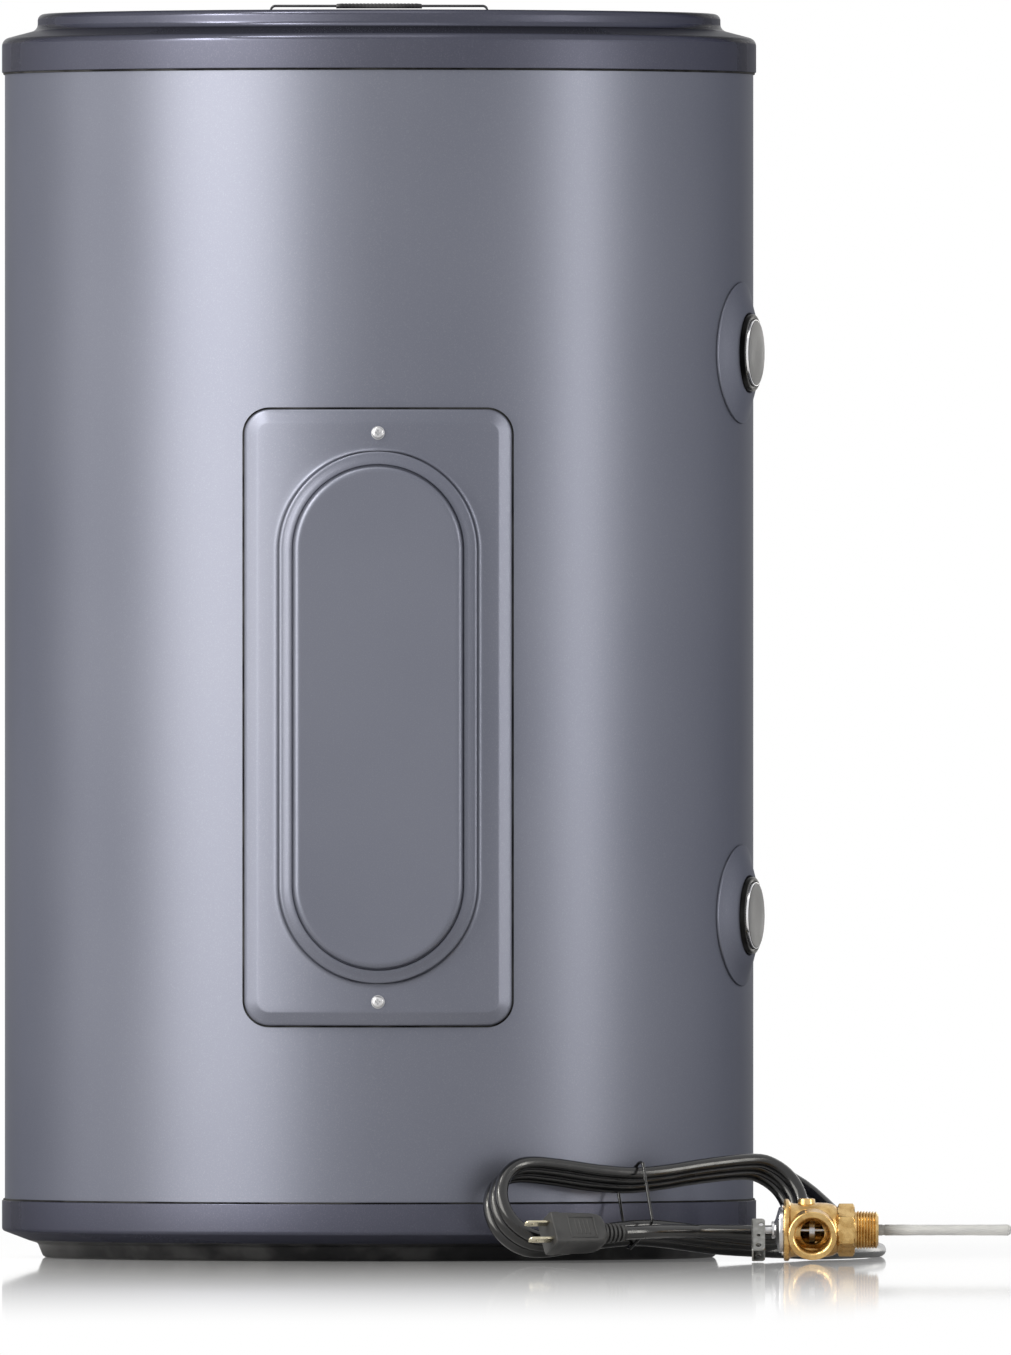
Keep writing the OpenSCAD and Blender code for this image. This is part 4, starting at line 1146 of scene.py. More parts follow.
class HEATER_OT_lid(bpy.types.Operator):
    """Makes the stepped lid, with slots for the handle's legs, and the base pan under it all"""

    bl_idname = "heater.lid_and_base"
    bl_label = "Lid and base"

    def execute(self, context):
        sizes = context.scene.heater_sizes
        self.make_lid(sizes)
        self.make_base()
        return {"FINISHED"}

    def make_lid(self, sizes):
        sheet, drop, fall = 0.0012, 0.0112, 0.0178
        step = RIM_R - 0.025
        top, inside = BODY_TOP, RIM_R - sheet
        corners = [
            (0.0, top), (step, top), (step, top - drop), (RIM_R, top - fall), (RIM_R, LID_Z),
            (inside, LID_Z), (inside, top - fall - 0.0008), (step - sheet, top - drop - 0.0010),
            (step - sheet, top - sheet), (0.0, top - sheet),
        ]
        shoulder = sizes.rim_round
        radii = {1: 0.0045, 2: 0.0055, 3: shoulder, 4: 0.0005, 5: 0.0005}
        radii.update({6: shoulder - sheet, 7: 0.0060, 8: 0.0033})
        outline = [(max(p.x, AXIS_R), p.y) for p in rounded(corners, radii, 7)]
        lid = turned("Lid", outline, Matrix.Identity(4), 240, "SlatePaint", 30, on_axis=True)
        cutters = []
        for side in (-1, 1):
            block = bmesh.new()
            place = Matrix.Translation((side * LEG_X, 0.0, BODY_TOP))
            add_box(block, place, (0.0021, 0.0206, 0.012), 0.0004)
            cutters.append(new_object("SlotCutter", block, finish_named("SlatePaint")))
        cut_away(lid, cutters)
        settle(lid, "heater", "slate_paint", "lid")

    def make_base(self):
        """A painted band above a black foot that is set back under it; the foot's near-black colour is
        partly painted shade from under the band.
        """
        sheet, rise, split = 0.0012, 0.010, 0.0001
        joint_r, joint_z = FOOT_R + 0.011, rise + 0.0022
        band = [(joint_r, joint_z), (RIM_R, BAND_Z), (RIM_R, BASE_Z), (RIM_R - sheet, BASE_Z),
                (RIM_R - sheet, BAND_Z + sheet), (joint_r, joint_z + sheet)]
        foot = [(0.0, 0.0), (FOOT_R, 0.0), (FOOT_R + 0.004, rise), (joint_r - split, joint_z - split),
                (joint_r - split, joint_z + sheet), (FOOT_R + 0.0028, rise + sheet),
                (FOOT_R - 0.0012, sheet), (0.0, sheet)]
        band_line = rounded(band, {1: 0.003, 2: 0.0005, 3: 0.0005}, 6)
        foot_line = rounded(foot, {1: 0.0038, 2: 0.003, 5: 0.003, 6: 0.003}, 6)
        shapes = (
            ("BasePan", band_line, "SlatePaint", "slate_paint", False),
            ("BaseFoot", foot_line, "FootBlackAndShade", "black_plastic", True),
        )
        for name, line, finish, slot_name, on_axis in shapes:
            outline = [(max(p.x, AXIS_R), p.y) for p in line]
            piece = turned(name, outline, Matrix.Identity(4), 240, finish, 30, on_axis)
            settle(piece, "heater", slot_name, "base_pan")


class HEATER_OT_seals(bpy.types.Operator):
    """Makes the thin dark seals under the lid's rim and over the base, as painted shade in those joints"""

    bl_idname = "heater.seals"
    bl_label = "Seals"

    def execute(self, context):
        # Painted shade: dark rings in the seams under the lid's rim and over the base
        mesh = bmesh.new()
        r = JACKET_R + 0.0002
        for low, high in ((LID_Z - 0.0014, LID_Z + 0.0004), (BASE_Z - 0.0004, BASE_Z + 0.0012)):
            mid = (low + high) / 2
            ring = [(r, low), (r + 0.0007, low), (r + 0.0010, mid), (r + 0.0007, high), (r, high)]
            add_lathe(mesh, ring, Matrix.Identity(4), 240, loop=True)
        seals = new_object("RimShadeSeals", mesh, finish_named("JointShadeRubber"), 50)
        settle(seals, "heater", "black_plastic")
        return {"FINISHED"}


# ---- Handle ----


class HEATER_OT_handle(bpy.types.Operator):
    """Makes the lift-up handle: a bent strap with eased edges, and its ribbed grip"""

    bl_idname = "heater.handle"
    bl_label = "Handle"

    def execute(self, context):
        self.make_strap()
        self.make_grip()
        return {"FINISHED"}

    def make_strap(self):
        half, thick, wide, bend, leg_z = 0.0765, 0.0015, 0.020, 0.004, 0.8282
        mid = half - thick / 2
        top = HANDLE_TOP - thick / 2
        line = [(-mid, leg_z), (-mid, top), (mid, top), (mid, leg_z)]
        path = rounded(line, {1: bend - thick / 2, 2: bend - thick / 2}, 8)
        edge = 0.0004
        corner = rounded(
            [(0.0, -thick / 2), (wide / 2, -thick / 2), (wide / 2, thick / 2), (-wide / 2, thick / 2),
             (-wide / 2, -thick / 2), (0.0, -thick / 2)],
            {1: edge, 2: edge, 3: edge, 4: edge}, 3,
        )[:-1]
        mesh = bmesh.new()
        rings = []
        for i, point in enumerate(path):
            ahead = (path[min(i + 1, len(path) - 1)] - path[max(i - 1, 0)]).normalized()
            out = Vector((-ahead.y, ahead.x))
            ring = [Vector((point.x + out.x * c.y, c.x, point.y + out.y * c.y)) for c in corner]
            rings.append(ring)
        add_rings(mesh, rings, cap_start=True, cap_end=True)
        strap = new_object("HandleStrap", mesh, finish_named("StrapSteel"), 35)
        settle(strap, "handle", "strap_steel", "handle_bar")

    def make_grip(self):
        """A soft sleeve on the middle of the strap, with sloping ends and fine ribs."""
        half_l, half_w, half_t, top = 0.030, 0.0109, 0.00165, HANDLE_TOP - 0.00075
        ribs = 20
        stations = [(-half_l, 0.55), (-half_l + 0.0006, 0.80), (-half_l + 0.0040, 1.0)]
        for k in range(ribs):
            x = -half_l + 0.0055 + (2 * half_l - 0.011) * k / (ribs - 1)
            stations += [(x - 0.0008, 1.0), (x - 0.0003, 0.90), (x + 0.0003, 0.90), (x + 0.0008, 1.0)]
        stations += [(half_l - 0.0040, 1.0), (half_l - 0.0006, 0.80), (half_l, 0.55)]
        mesh = bmesh.new()
        rings = []
        for x, share in stations:
            height = half_t * share
            wide = half_w - 0.0012 * (1 - share)
            flat = rounded(
                [(0.0, -half_t), (wide, -half_t), (wide, height), (-wide, height), (-wide, -half_t),
                 (0.0, -half_t)],
                {1: 0.0006, 2: 0.0009, 3: 0.0009, 4: 0.0006}, 4,
            )[:-1]
            rings.append([Vector((x, p.x, top + p.y)) for p in flat])
        add_rings(mesh, rings, cap_start=True, cap_end=True)
        grip = new_object("HandleGrip", mesh, finish_named("BlackPlastic"), 40)
        settle(grip, "handle", "black_plastic", "handle_grip")


# ---- Access cover ----


class HEATER_OT_cover(bpy.types.Operator):
    """Makes the pressed access cover with its raised panel, its dark seal of painted shade round it and its
    two screws
    """

    bl_idname = "heater.cover"
    bl_label = "Access cover"

    half_w = 0.093
    half_h = 0.214
    corner = 0.0175
    least_corner = 0.0065
    arc_z = 0.116
    panel_r = 0.069

    def execute(self, context):
        fan = self.rays()
        self.make_sheet(fan, context.scene.heater_sizes)
        self.make_shade_seal(fan)
        self.make_screws()
        return {"FINISHED"}

    def rays(self):
        """Lines that fan out from the panel's straight middle, as a start height and an angle.

        They are close together at the cover's corners.
        """
        angles = []
        a = 0.0
        while a < 89.0:
            angles.append(a)
            a += 0.7 if 38.0 < a < 55.0 else 2.4
        quarter = [math.radians(a) for a in angles]
        back = list(reversed(quarter))
        quarter.append(math.radians(90))
        rise = [self.arc_z - 2 * self.arc_z * k / 24 for k in range(1, 24)]
        fan = [(self.arc_z, a) for a in quarter]
        fan += [(self.arc_z, math.pi - a) for a in back]
        fan += [(z, math.pi) for z in rise]
        fan += [(-self.arc_z, math.pi + a) for a in quarter]
        fan += [(-self.arc_z, math.tau - a) for a in back]
        fan += [(-z, 0.0) for z in rise]
        return fan

    def edge(self, fan, inset):
        """How far along each ray the cover's outline lies, moved in by an inset."""
        half_w, half_h = self.half_w - inset, self.half_h - inset
        radius = max(self.corner - inset, self.least_corner)
        reaches = []
        for z, a in fan:
            near, far = 0.0, 0.4
            for _ in range(34):
                mid = (near + far) / 2
                inside = box_distance(mid * math.cos(a), z + mid * math.sin(a), half_w, half_h, radius) < 0
                near, far = (mid, far) if inside else (near, mid)
            reaches.append(near)
        return reaches

    def panel(self, fan, grow):
        """How far along each ray the raised panel's outline lies, moved out by a little."""
        return [self.panel_r + grow] * len(fan)

    def loop(self, fan, reaches, depth):
        """A loop of points on the rays, with depth as the distance to the front at each x."""
        ring = []
        for (z, a), reach in zip(fan, reaches):
            x = reach * math.cos(a)
            ring.append((x, -depth(x), COVER_Z + z + reach * math.sin(a)))
        return ring

    def curved(self, fan, reaches, r):
        """A loop on a cylinder of this radius about the tank's axis."""
        return self.loop(fan, reaches, lambda x: math.sqrt(r * r - x * x))

    def flat(self, fan, reaches, y):
        """A loop in an upright plane, this far to the front."""
        return self.loop(fan, reaches, lambda x: y)

    def make_sheet(self, fan, sizes):
        """The pressing, as loops from its inner edge over the skirt, bevel and plate to the panel."""
        bevel, sheet = sizes.bevel_width, 0.0014
        skirt = PLATE_R - 0.0023
        skin = [
            (sheet, JACKET_R + 0.0006), (0.0003, JACKET_R + 0.0005), (0.0, JACKET_R + 0.0008),
            (0.0, skirt - 0.0012), (0.0003, skirt - 0.0005), (0.0010, skirt),
        ]
        for k in range(1, 6):
            share = k / 5
            skin.append((0.0010 + (bevel - 0.0010) * share, skirt + (PLATE_R - 0.0002 - skirt) * share))
        skin += [(bevel + 0.0006, PLATE_R - 0.00005), (bevel + 0.0014, PLATE_R)]
        loops = [self.curved(fan, self.edge(fan, inset), r) for inset, r in skin]

        inner, base = self.edge(fan, bevel + 0.0014), self.panel(fan, 0.0034)
        for k in range(1, 9):
            between = [first + (second - first) * (k / 8) for first, second in zip(inner, base)]
            loops.append(self.curved(fan, between, PLATE_R))
        for grow, lift in ((0.0024, 0.0001), (0.0014, 0.0006), (0.0006, 0.0015), (0.0002, 0.0026)):
            loops.append(self.loop(
                fan, self.panel(fan, grow),
                lambda x: min(math.sqrt(PLATE_R**2 - x * x) + lift, LIP_Y - 0.0012),
            ))
        steps = []
        r = sizes.panel_round
        for k in range(6):
            a = math.radians(90 * k / 5)
            steps.append((-r * (1 - math.cos(a)) + 0.0001, LIP_Y - r + r * math.sin(a)))
        ledge = ((-0.0036, 0.0002), (-0.0060, 0.0012), (-0.0084, 0.0021), (-0.0092, 0.0020),
                 (-0.0097, 0.0014), (-0.0100, 0.0016))
        steps += [(grow, LIP_Y + lift) for grow, lift in ledge]
        r = sizes.panel_round * 1.6
        for k in range(7):
            a = math.radians(90 * k / 6)
            steps.append((-0.0102 - r * (1 - math.cos(a)), FACE_Y - r + r * math.sin(a)))
        steps += [(-0.0102 - r - 0.0015, FACE_Y), (-0.0102 - r - 0.006, FACE_Y)]
        loops += [self.flat(fan, self.panel(fan, grow), y) for grow, y in steps]
        mesh = bmesh.new()
        add_rings(mesh, loops, cap_end=True)
        bmesh.ops.remove_doubles(mesh, verts=mesh.verts, dist=0.000001)
        cover = new_object("AccessCover", mesh, finish_named("JacketPaint"), 32)
        settle(cover, "heater", "jacket_paint", "access_cover")

    def make_shade_seal(self, fan):
        """A thin dark bead in the joint between the cover's edge and the jacket, as painted shade in that
        joint.
        """
        bead = ((-0.0016, 0.0003), (0.0011, 0.0003), (0.0013, 0.0007), (0.0009, 0.0011), (-0.0016, 0.0011))
        rings = [self.curved(fan, self.edge(fan, -grow), JACKET_R + lift) for grow, lift in bead]
        mesh = bmesh.new()
        add_rings(mesh, rings, loop=True)
        seal = new_object("CoverShadeSeal", mesh, finish_named("JointShadeRubber"), 50)
        settle(seal, "heater", "black_plastic")

    def make_screws(self):
        """Pan heads with a cross recess, over washers."""
        sides, head_r, head_z = 48, 0.0022, 0.00255
        mesh = bmesh.new()
        for z in SCREW_Z:
            where = outward(0, z, PLATE_R)
            shank = [(AXIS_R, -0.016), (0.0016, -0.0155), (0.0020, -0.0145), (0.0020, 0.0)]
            washer = [(0.0046, 0.00002), (0.0047, 0.0003), (0.0046, 0.0006), (0.0041, 0.0007)]
            head = [(0.0040, 0.0009), (0.0041, 0.0014), (0.0038, 0.0020), (0.0031, 0.0024), (head_r, head_z)]
            add_lathe(mesh, shank + washer + head, where, sides)
            recess = self.cross(0.0019, 0.00045, sides)
            rings = [
                [where @ Vector((x, y, head_z)) for x, y in circle(head_r, sides)],
                [where @ Vector((x, y, 0.00250)) for x, y in recess],
                [where @ Vector((x * 0.55, y * 0.55, 0.0014)) for x, y in recess],
            ]
            add_rings(mesh, rings, cap_end=True)
        bmesh.ops.remove_doubles(mesh, verts=mesh.verts, dist=0.00001)
        screws = new_object("CoverScrews", mesh, finish_named("BrightSteel"), 35)
        settle(screws, "heater", "bright_steel", "cover_screws")

    def cross(self, arm, half, count):
        """A cross's outline, as the nearest edge in each of so many directions."""
        line = []
        for k in range(count):
            a = math.tau * k / count
            c, s = abs(math.cos(a)), abs(math.sin(a))
            big, small = max(c, s), min(c, s)
            reach = min(arm / big, half / small if small > 1e-6 else arm)
            line.append((reach * math.cos(a), reach * math.sin(a)))
        return line


# ---- Water ports ----


class HEATER_OT_ports(bpy.types.Operator):
    """Makes the two side ports: a dished collar, a black ring and a grey cap on each"""

    bl_idname = "heater.ports"
    bl_label = "Water ports"

    cap_face = CAP_FACE - 0.0017
    sides = 96

    def execute(self, context):
        for name, z in PORT_Z.items():
            where = outward(PORT_AZIMUTH, z)
            self.make_collar(name, z)
            self.make_ring(name, where)
            self.make_cap(name, where)
            self.make_cap_edge(name, where)
        self.make_rear_collars()
        return {"FINISHED"}

    def add_collar(self, mesh, azimuth, z, radius, hole, rise):
        """A pressed collar: its edge follows the jacket, its middle comes up flat."""
        where = outward(azimuth, z)
        count = 144
        spread = radius - hole - 0.0018
        top = JACKET_R + rise
        flat = top - 0.0002
        profile = [(radius, 0.0001, 0.0), (radius, 0.0008, 0.0), (radius - 0.0003, 0.0013, 0.0),
                   (radius - 0.0011, 0.0015, 0.0)]
        profile += [(radius - 0.0011 - spread * k / 16, 0.0015, k / 16) for k in range(1, 17)]
        rings = []
        for r, lift, share in profile:
            blend = share * share * (3 - 2 * share) * 0.35 + share * 0.65
            ring = []
            for x, y in circle(r, count):
                skin = math.sqrt((JACKET_R + lift) ** 2 - x * x)
                ring.append(where @ Vector((x, y, skin + max(flat - skin, 0.0) * blend)))
            rings.append(ring)
        for r, drop in ((hole + 0.0010, 0.0), (hole + 0.0003, 0.0004), (hole, 0.0012)):
            rings.append([where @ Vector((x, y, top - drop)) for x, y in circle(r, count)])
        back = []
        for x, y in circle(hole, count):
            back.append(where @ Vector((x, y, math.sqrt((JACKET_R + 0.0001) ** 2 - x * x))))
        rings.append(back)
        add_rings(mesh, rings, loop=True)

    def make_collar(self, name, z):
        mesh = bmesh.new()
        self.add_collar(mesh, PORT_AZIMUTH, z, 0.0495, 0.0273, 0.0065)
        collar = new_object(name.title() + "Collar", mesh, finish_named("JacketPaint"), 40)
        settle(collar, "heater", "jacket_paint", name + "_collar")

    def make_ring(self, name, where):
        top, foot = RING_FACE, JACKET_R + 0.0001
        outline = [(0.0270, foot), (0.0270, top - 0.0009), (0.0267, top - 0.0002), (0.0261, top),
                   (0.0239, top), (0.0235, top - 0.0003), (0.0233, top - 0.0009), (0.0233, foot)]
        ring = turned(name.title() + "Ring", outline, where, self.sides, "GlossPlastic", 40)
        settle(ring, "heater", "black_plastic", name + "_ring")

    def make_cap(self, name, where):
        """A plug-in cap: a flat face with an eased edge, and a stem in the socket."""
        face = self.cap_face
        outline = [
            (AXIS_R, JACKET_R - 0.0157), (0.0114, JACKET_R - 0.0157), (0.01205, JACKET_R - 0.0150),
            (0.01205, JACKET_R + 0.0043), (0.0222, JACKET_R + 0.0043), (0.0230, JACKET_R + 0.0050),
            (0.0230, face - 0.0010), (0.0228, face - 0.0005), (0.0223, face - 0.0001), (0.0216, face),
            (0.0120, face), (0.0060, face), (0.0020, face), (AXIS_R, face),
        ]
        cap = turned(name.title() + "Cap", outline, where, self.sides, "CapPlastic", 40, on_axis=True)
        settle(cap, "heater", "cap_plastic", name + "_cap")

    def make_cap_edge(self, name, where):
        """The bright band pressed round a cap's flank."""
        face = self.cap_face
        outline = [(0.0228, JACKET_R + 0.0070), (0.0232, JACKET_R + 0.0070), (0.0232, face - 0.0008),
                   (0.0231, face - 0.0003), (0.0227, face - 0.0002)]
        edge = turned(name.title() + "CapEdge", outline, where, self.sides, "EdgeChrome", 40)
        settle(edge, "heater", "bright_steel")

    def make_rear_collars(self):
        mesh = bmesh.new()
        self.add_collar(mesh, RELIEF_AZIMUTH, RELIEF_Z, 0.031, 0.0173, 0.004)
        self.add_collar(mesh, DRAIN_AZIMUTH, DRAIN_Z, 0.027, 0.0133, 0.004)
        collars = new_object("RearCollars", mesh, finish_named("JacketPaint"), 40)
        settle(collars, "heater", "jacket_paint", "rear_collars")


def threads(start, end, crest, pitch, run_out=0.0):
    """Outline of a pipe thread: rounded crests and roots along a bar that tapers a little."""
    line = []
    count = max(int((end - start) / pitch), 1)
    step = (end - start) / count
    depth = pitch * 0.55
    for k in range(count):
        z = start + step * k
        r = crest - run_out * (z - start) / (end - start)
        line += [(r - depth, z), (r - depth * 0.25, z + step * 0.28), (r, z + step * 0.42),
                 (r, z + step * 0.56), (r - depth * 0.25, z + step * 0.70), (r - depth, z + step * 0.98)]
    return line


# ---- Drain valve ----


class HEATER_OT_drain(bpy.types.Operator):
    """Makes the brass body of the drain valve, with its hose thread and the neck for its stem"""

    bl_idname = "heater.drain"
    bl_label = "Drain valve"

    def execute(self, context):
        where = outward(DRAIN_AZIMUTH, DRAIN_Z)
        neck = Matrix.Translation((0.0, DRAIN_Y, DRAIN_Z))
        end = DRAIN_Y + 0.026
        hex_in, hex_out = JACKET_R + 0.006, DRAIN_Y + 0.0115
        bore_r = 0.0065

        def six_sided(radius, height, a):
            """Takes the widest stretch of the body down to a hexagon."""
            if radius < 0.0158 or not hex_in + 0.0008 < height < hex_out - 0.0008:
                return radius
            turn = (a + math.pi / 6) % (math.pi / 3) - math.pi / 6
            return min(0.0160, 0.0148 / math.cos(turn))

        outline = [(bore_r, 0.2225), (0.0126, 0.2225), (0.0130, 0.2235), (0.0130, hex_in), (0.0150, hex_in),
                   (0.0158, hex_in + 0.0009), (0.0160, hex_in + 0.0012), (0.0160, hex_out - 0.0012),
                   (0.0158, hex_out - 0.0009), (0.0150, hex_out), (0.0122, hex_out + 0.0002),
                   (0.0122, hex_out + 0.0022)]
        outline += threads(hex_out + 0.0024, end - 0.0010, 0.0133, 0.0023)
        outline += [(0.0118, end - 0.0008), (0.0112, end), (0.0085, end), (0.0070, end - 0.0012),
                    (bore_r, end - 0.003)]
        seat_r, seat_turns = 0.0112, 8
        edge = math.asin(bore_r / seat_r)
        for k in range(seat_turns + 1):
            a = edge + (math.pi - 2 * edge) * k / seat_turns
            outline.append((seat_r * math.sin(a), DRAIN_Y + seat_r * math.cos(a)))
        stem_way = rod_cutter("CastBrass", neck, 0.00357, 0.0080, 0.0200, 64)
        mesh = cut_shell(outline, where, 120, six_sided, stem_way)
        bonnet = [(0.0036, 0.0120), (0.0070, 0.0120), (0.0070, 0.0180), (0.0067, 0.0184), (0.0067, 0.0190),
                  (0.0070, 0.0194), (0.0070, 0.0234), (0.0064, 0.0240), (0.0036, 0.0240)]
        add_lathe(mesh, bonnet, neck, 48, loop=True)
        body = new_object("DrainBody", mesh, finish_named("CastBrass"), 32)
        settle(body, "heater", "brass", "drain_body")
        return {"FINISHED"}


# ---- Relief valve ----


class HEATER_OT_relief_valve(bpy.types.Operator):
    """Makes the loose relief valve: cast body, threads, bonnet, test lever and probe"""

    bl_idname = "heater.relief_valve"
    bl_label = "Relief valve"

    def execute(self, context):
        self.make_body(context.scene.heater_sizes)
        self.make_bonnet()
        self.make_lever()
        self.make_probe()
        return {"FINISHED"}

    def outlet_frame(self):
        """Frame of the outlet: Z out along it from the valve's axis, to the front and a little down."""
        dip = math.radians(90 + OUTLET_DIP)
        at = Matrix.Translation(VALVE + Vector((OUTLET_X, 0.0, 0.0)))
        return at @ Matrix.Rotation(dip, 4, "X")

    def make_body(self, sizes):
        """The cast body: a barrel with a chamber, a hexagon, a pipe thread, an outlet and a boss."""
        body_end, hex_end, length = 0.0595, 0.0715, 0.088

        def six_sided(radius, height, a):
            """Takes the stretch between the body and the thread down to a hexagon."""
            if not body_end + 0.0006 < height < hex_end - 0.0006:
                return radius
            turn = a % (math.pi / 3) - math.pi / 6
            return min(radius, 0.01602 / math.cos(turn))

        outline = [
            (0.0115, 0.0245), (0.0115, 0.0222), (0.0205, 0.0222), (0.0213, 0.0225), (0.0216, 0.0232),
            (0.0216, 0.0250), (0.0213, 0.0257), (0.0204, 0.0262), (0.0192, 0.0270), (0.0186, 0.0290),
            (0.0184, 0.0320), (0.0188, 0.0400), (0.0190, 0.0460), (0.0188, 0.0520), (0.0180, 0.0560),
            (0.0168, 0.0582), (0.0160, 0.0592), (0.0164, body_end + 0.0002), (0.0178, body_end + 0.0008),
            (0.0184, body_end + 0.0014), (0.0184, hex_end - 0.0014), (0.0178, hex_end - 0.0008),
            (0.0162, hex_end), (0.0128, hex_end + 0.0002), (0.0124, hex_end + 0.0012),
        ]
        outline += threads(hex_end + 0.0014, length - 0.0008, 0.01335, sizes.thread_pitch, 0.0005)
        outline += [(0.0114, length - 0.0006), (0.0108, length), (0.0090, length), (0.0085, length - 0.0008),
                    (0.0085, 0.0440), (0.0115, 0.0440)]
        passage = rod_cutter("CastBrass", self.outlet_frame(), 0.0084, 0.0040, 0.0230, 48)
        mesh = cut_shell(outline, valve_frame(), 144, six_sided, passage)
        inner = [(0.0168, 0.0140), (0.0168, 0.0180), (0.0162, 0.0205)]
        rim = [(0.0160, 0.0240), (0.0163, 0.0290), (0.0168, 0.0312), (0.0170, 0.0330), (0.0170, 0.0348),
               (0.0167, 0.0356), (0.0161, 0.0360), (0.0136, 0.0360), (0.0128, 0.0355)]
        bore = []
        grooves = 7
        for k in range(grooves):
            z = 0.0345 - 0.0180 * k / grooves
            bore += [(0.0121, z), (0.0127, z - 0.0009), (0.0127, z - 0.0012), (0.0121, z - 0.0021)]
        bore += [(0.0121, 0.0152), (0.0086, 0.0150), (0.0085, 0.0121)]
        add_lathe(mesh, inner + rim + bore, self.outlet_frame(), 96)
        boss = [(0.0060, 0.0120), (0.0060, 0.0208), (0.0056, 0.0215), (0.0048, 0.0219), (0.0040, 0.0219),
                (0.0036, 0.0214), (0.0022, 0.0212), (AXIS_R, 0.0212)]
        add_lathe(mesh, boss, Matrix.Translation(VALVE + Vector((OUTLET_X - 0.004, 0.0, 0.0))), 48)
        body = new_object("ValveBody", mesh, finish_named("CastBrass"), 30)
        settle(body, "heater", "brass", "relief_body")

    def make_bonnet(self):
        """The steel bonnet, with the crimps that hold it to the body."""
        where = valve_frame()
        outline = [
            (0.00255, 0.0138), (0.0056, 0.0138), (0.0060, 0.0142), (0.0060, 0.0156), (0.0066, 0.0160),
            (0.0074, 0.0164), (0.0150, 0.0186), (0.0157, 0.0190), (0.0160, 0.0196), (0.0160, 0.0218),
            (0.0158, 0.0221), (0.0119, 0.0221), (0.0119, 0.0250), (0.00255, 0.0250),
        ]
        crimp = [(AXIS_R, -0.0012), (0.0014, -0.0012), (0.0015, -0.0006), (0.0011, -0.0001),
                 (0.0011, 0.0006)]
        mesh = bmesh.new()
        add_lathe(mesh, outline, where, 96, loop=True)
        for k in range(6):
            turn = Matrix.Rotation(math.tau * (k + 0.5) / 6, 4, "Z")
            add_lathe(mesh, crimp, where @ turn @ Matrix.Translation((0.0186, 0.0, 0.0221)), 20)
        bonnet = new_object("ValveBonnet", mesh, finish_named("BrightSteel"), 32)
        settle(bonnet, "heater", "bright_steel", "relief_bonnet")

    def make_lever(self):
        """A pressed channel: a web across the valve's end and a flange down each side of the pin."""
        pin_z, width, thick, head, depth = 0.0065, 0.011, 0.0012, 0.0060, 0.0092
        web_reach, flange_reach = 0.0275, 0.0262
        where = valve_frame() @ Matrix.Rotation(math.radians(180 - LEVER_ROLL), 4, "Z")
        upright = Matrix.Rotation(math.radians(90), 4, "X")
        half = width / 2
        mesh = bmesh.new()
        web = [(-head, -half), (web_reach, -half), (web_reach, half), (-head, half)]
        flange = [(-head, 0.0), (flange_reach, 0.0), (flange_reach, depth), (-head, depth)]
        web_corners = {0: 0.0014, 1: 0.0028, 2: 0.0028, 3: 0.0014}
        flange_corners = {0: 0.0012, 1: 0.0012, 2: 0.0026, 3: 0.0026}
        self.add_plate(mesh, web, web_corners, thick, where @ Matrix.Translation((0.0, 0.0, thick / 2)))
        for side in (-1, 1):
            stand = Matrix.Translation((0.0, side * (half - thick / 2), 0.0)) @ upright
            self.add_plate(mesh, flange, flange_corners, thick, where @ stand)
        lever = new_object("ValveLever", mesh, finish_named("LeverSteel"), 35)
        holes = []
        for x, z, r in ((0.0213, 0.0046, 0.0019), (0.0112, 0.0046, 0.0014), (0.0, pin_z, 0.0017)):
            across = where @ Matrix.Translation((x, 0.0, z)) @ upright
            holes.append(rod_cutter("LeverSteel", across, r, -width, width, 32))
        cut_away(lever, holes)
        settle(lever, "valve_lever", "bright_steel", "relief_lever")

    def add_plate(self, mesh, corners, radii, thick, where):
        """A flat plate with round corners and eased edges, level in its frame."""
        closed = [corners[-1], *corners, corners[0]]
        line = rounded(closed, {k + 1: r for k, r in radii.items()}, 5)[1:-1]
        middle = sum(line, Vector((0.0, 0.0))) / len(line)
        ease = 0.0002
        rings = []
        for inset, height in ((ease, -thick / 2), (0.0, ease - thick / 2), (0.0, thick / 2 - ease),
                              (ease, thick / 2)):
            ring = []
            for point in line:
                at = point + (middle - point).normalized() * inset
                ring.append(where @ Vector((at.x, at.y, height)))
            rings.append(ring)
        add_rings(mesh, rings, cap_start=True, cap_end=True)

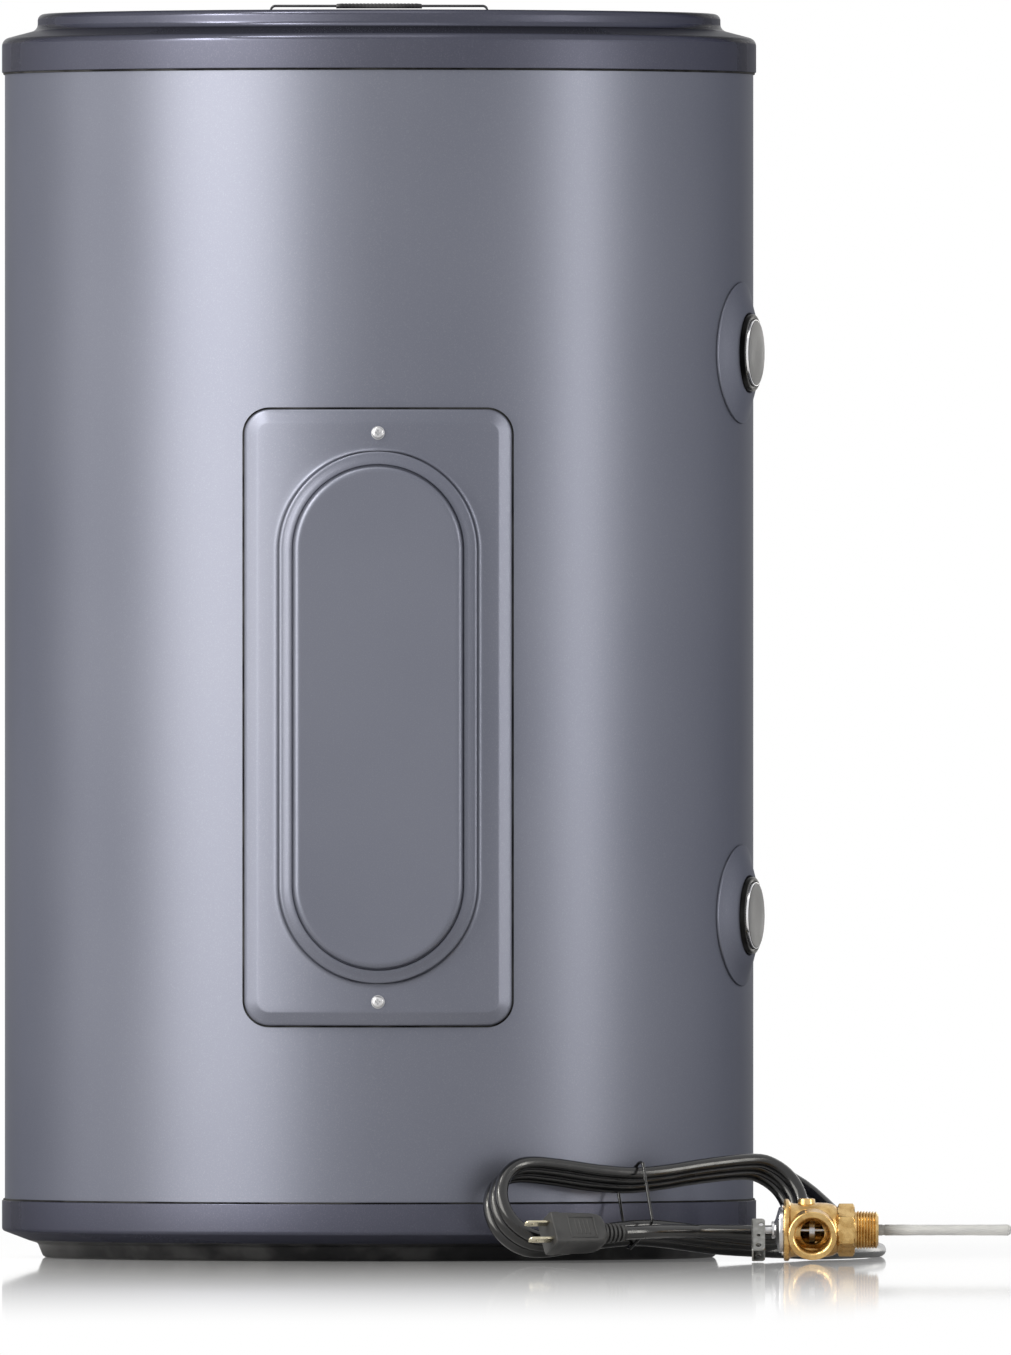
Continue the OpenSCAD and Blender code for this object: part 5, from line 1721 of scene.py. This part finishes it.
    def make_probe(self):
        """The long sleeve: a short metal tail, a collar, then slightly waisted plastic."""
        start, sleeve, end, r = 0.0842, 0.0928, 0.181, 0.0039
        outline = [(AXIS_R, start), (r, start), (r, 0.0905), (r - 0.0003, 0.0910), (r - 0.0003, 0.0922),
                   (r, sleeve)]
        for k in range(1, 15):
            z = sleeve + (end - r - sleeve) * k / 14
            outline.append((r - 0.00022 * math.sin(math.pi * k / 14) - 0.00006 * math.sin(k * 2.1), z))
        for k in range(1, 9):
            a = math.radians(90 * k / 8)
            outline.append((max(r * math.cos(a), AXIS_R), end - r + r * math.sin(a)))
        probe = turned("ValveProbe", outline, valve_frame(), 40, "ProbeSleeve", 50, on_axis=True)
        settle(probe, "valve_stem", "white_plastic", "relief_probe")


# ---- Panel and run ----

STEPS = (
    "stage",
    "finishes",
    "cord",
    "lid_and_base",
    "seals",
    "handle",
    "cover",
    "ports",
    "drain",
    "relief_valve",
)


class HEATER_PT_panel(bpy.types.Panel):
    """Lists the heater's sizes and finishes, and the steps that build it"""

    bl_idname = "HEATER_PT_panel"
    bl_label = "Water Heater"
    bl_space_type = "VIEW_3D"
    bl_region_type = "UI"
    bl_category = "Water Heater"

    def draw(self, context):
        layout = self.layout
        for group in ("heater_sizes", "heater_colours", "heater_wear", "heater_light"):
            column = layout.column(align=True)
            settings = getattr(context.scene, group)
            for name in settings.bl_rna.properties.keys():
                if name not in ("rna_type", "name"):
                    column.prop(settings, name)
        for step in STEPS:
            layout.operator("heater." + step)


GROUPS = {
    "heater_colours": HeaterColours,
    "heater_sizes": HeaterSizes,
    "heater_wear": HeaterWear,
    "heater_light": HeaterLight,
}
CLASSES = (
    *GROUPS.values(),
    HEATER_OT_stage,
    HEATER_OT_finishes,
    HEATER_OT_cord,
    HEATER_OT_lid,
    HEATER_OT_seals,
    HEATER_OT_handle,
    HEATER_OT_cover,
    HEATER_OT_ports,
    HEATER_OT_drain,
    HEATER_OT_relief_valve,
    HEATER_PT_panel,
)


def register():
    for kind in CLASSES:
        bpy.utils.register_class(kind)
    for name, kind in GROUPS.items():
        setattr(bpy.types.Scene, name, bpy.props.PointerProperty(type=kind))


def unregister():
    for name in GROUPS:
        delattr(bpy.types.Scene, name)
    for kind in reversed(CLASSES):
        bpy.utils.unregister_class(kind)


def main():
    """Builds every piece."""
    register()
    for step in STEPS:
        getattr(bpy.ops.heater, step)()


if __name__ == "__main__":
    main()
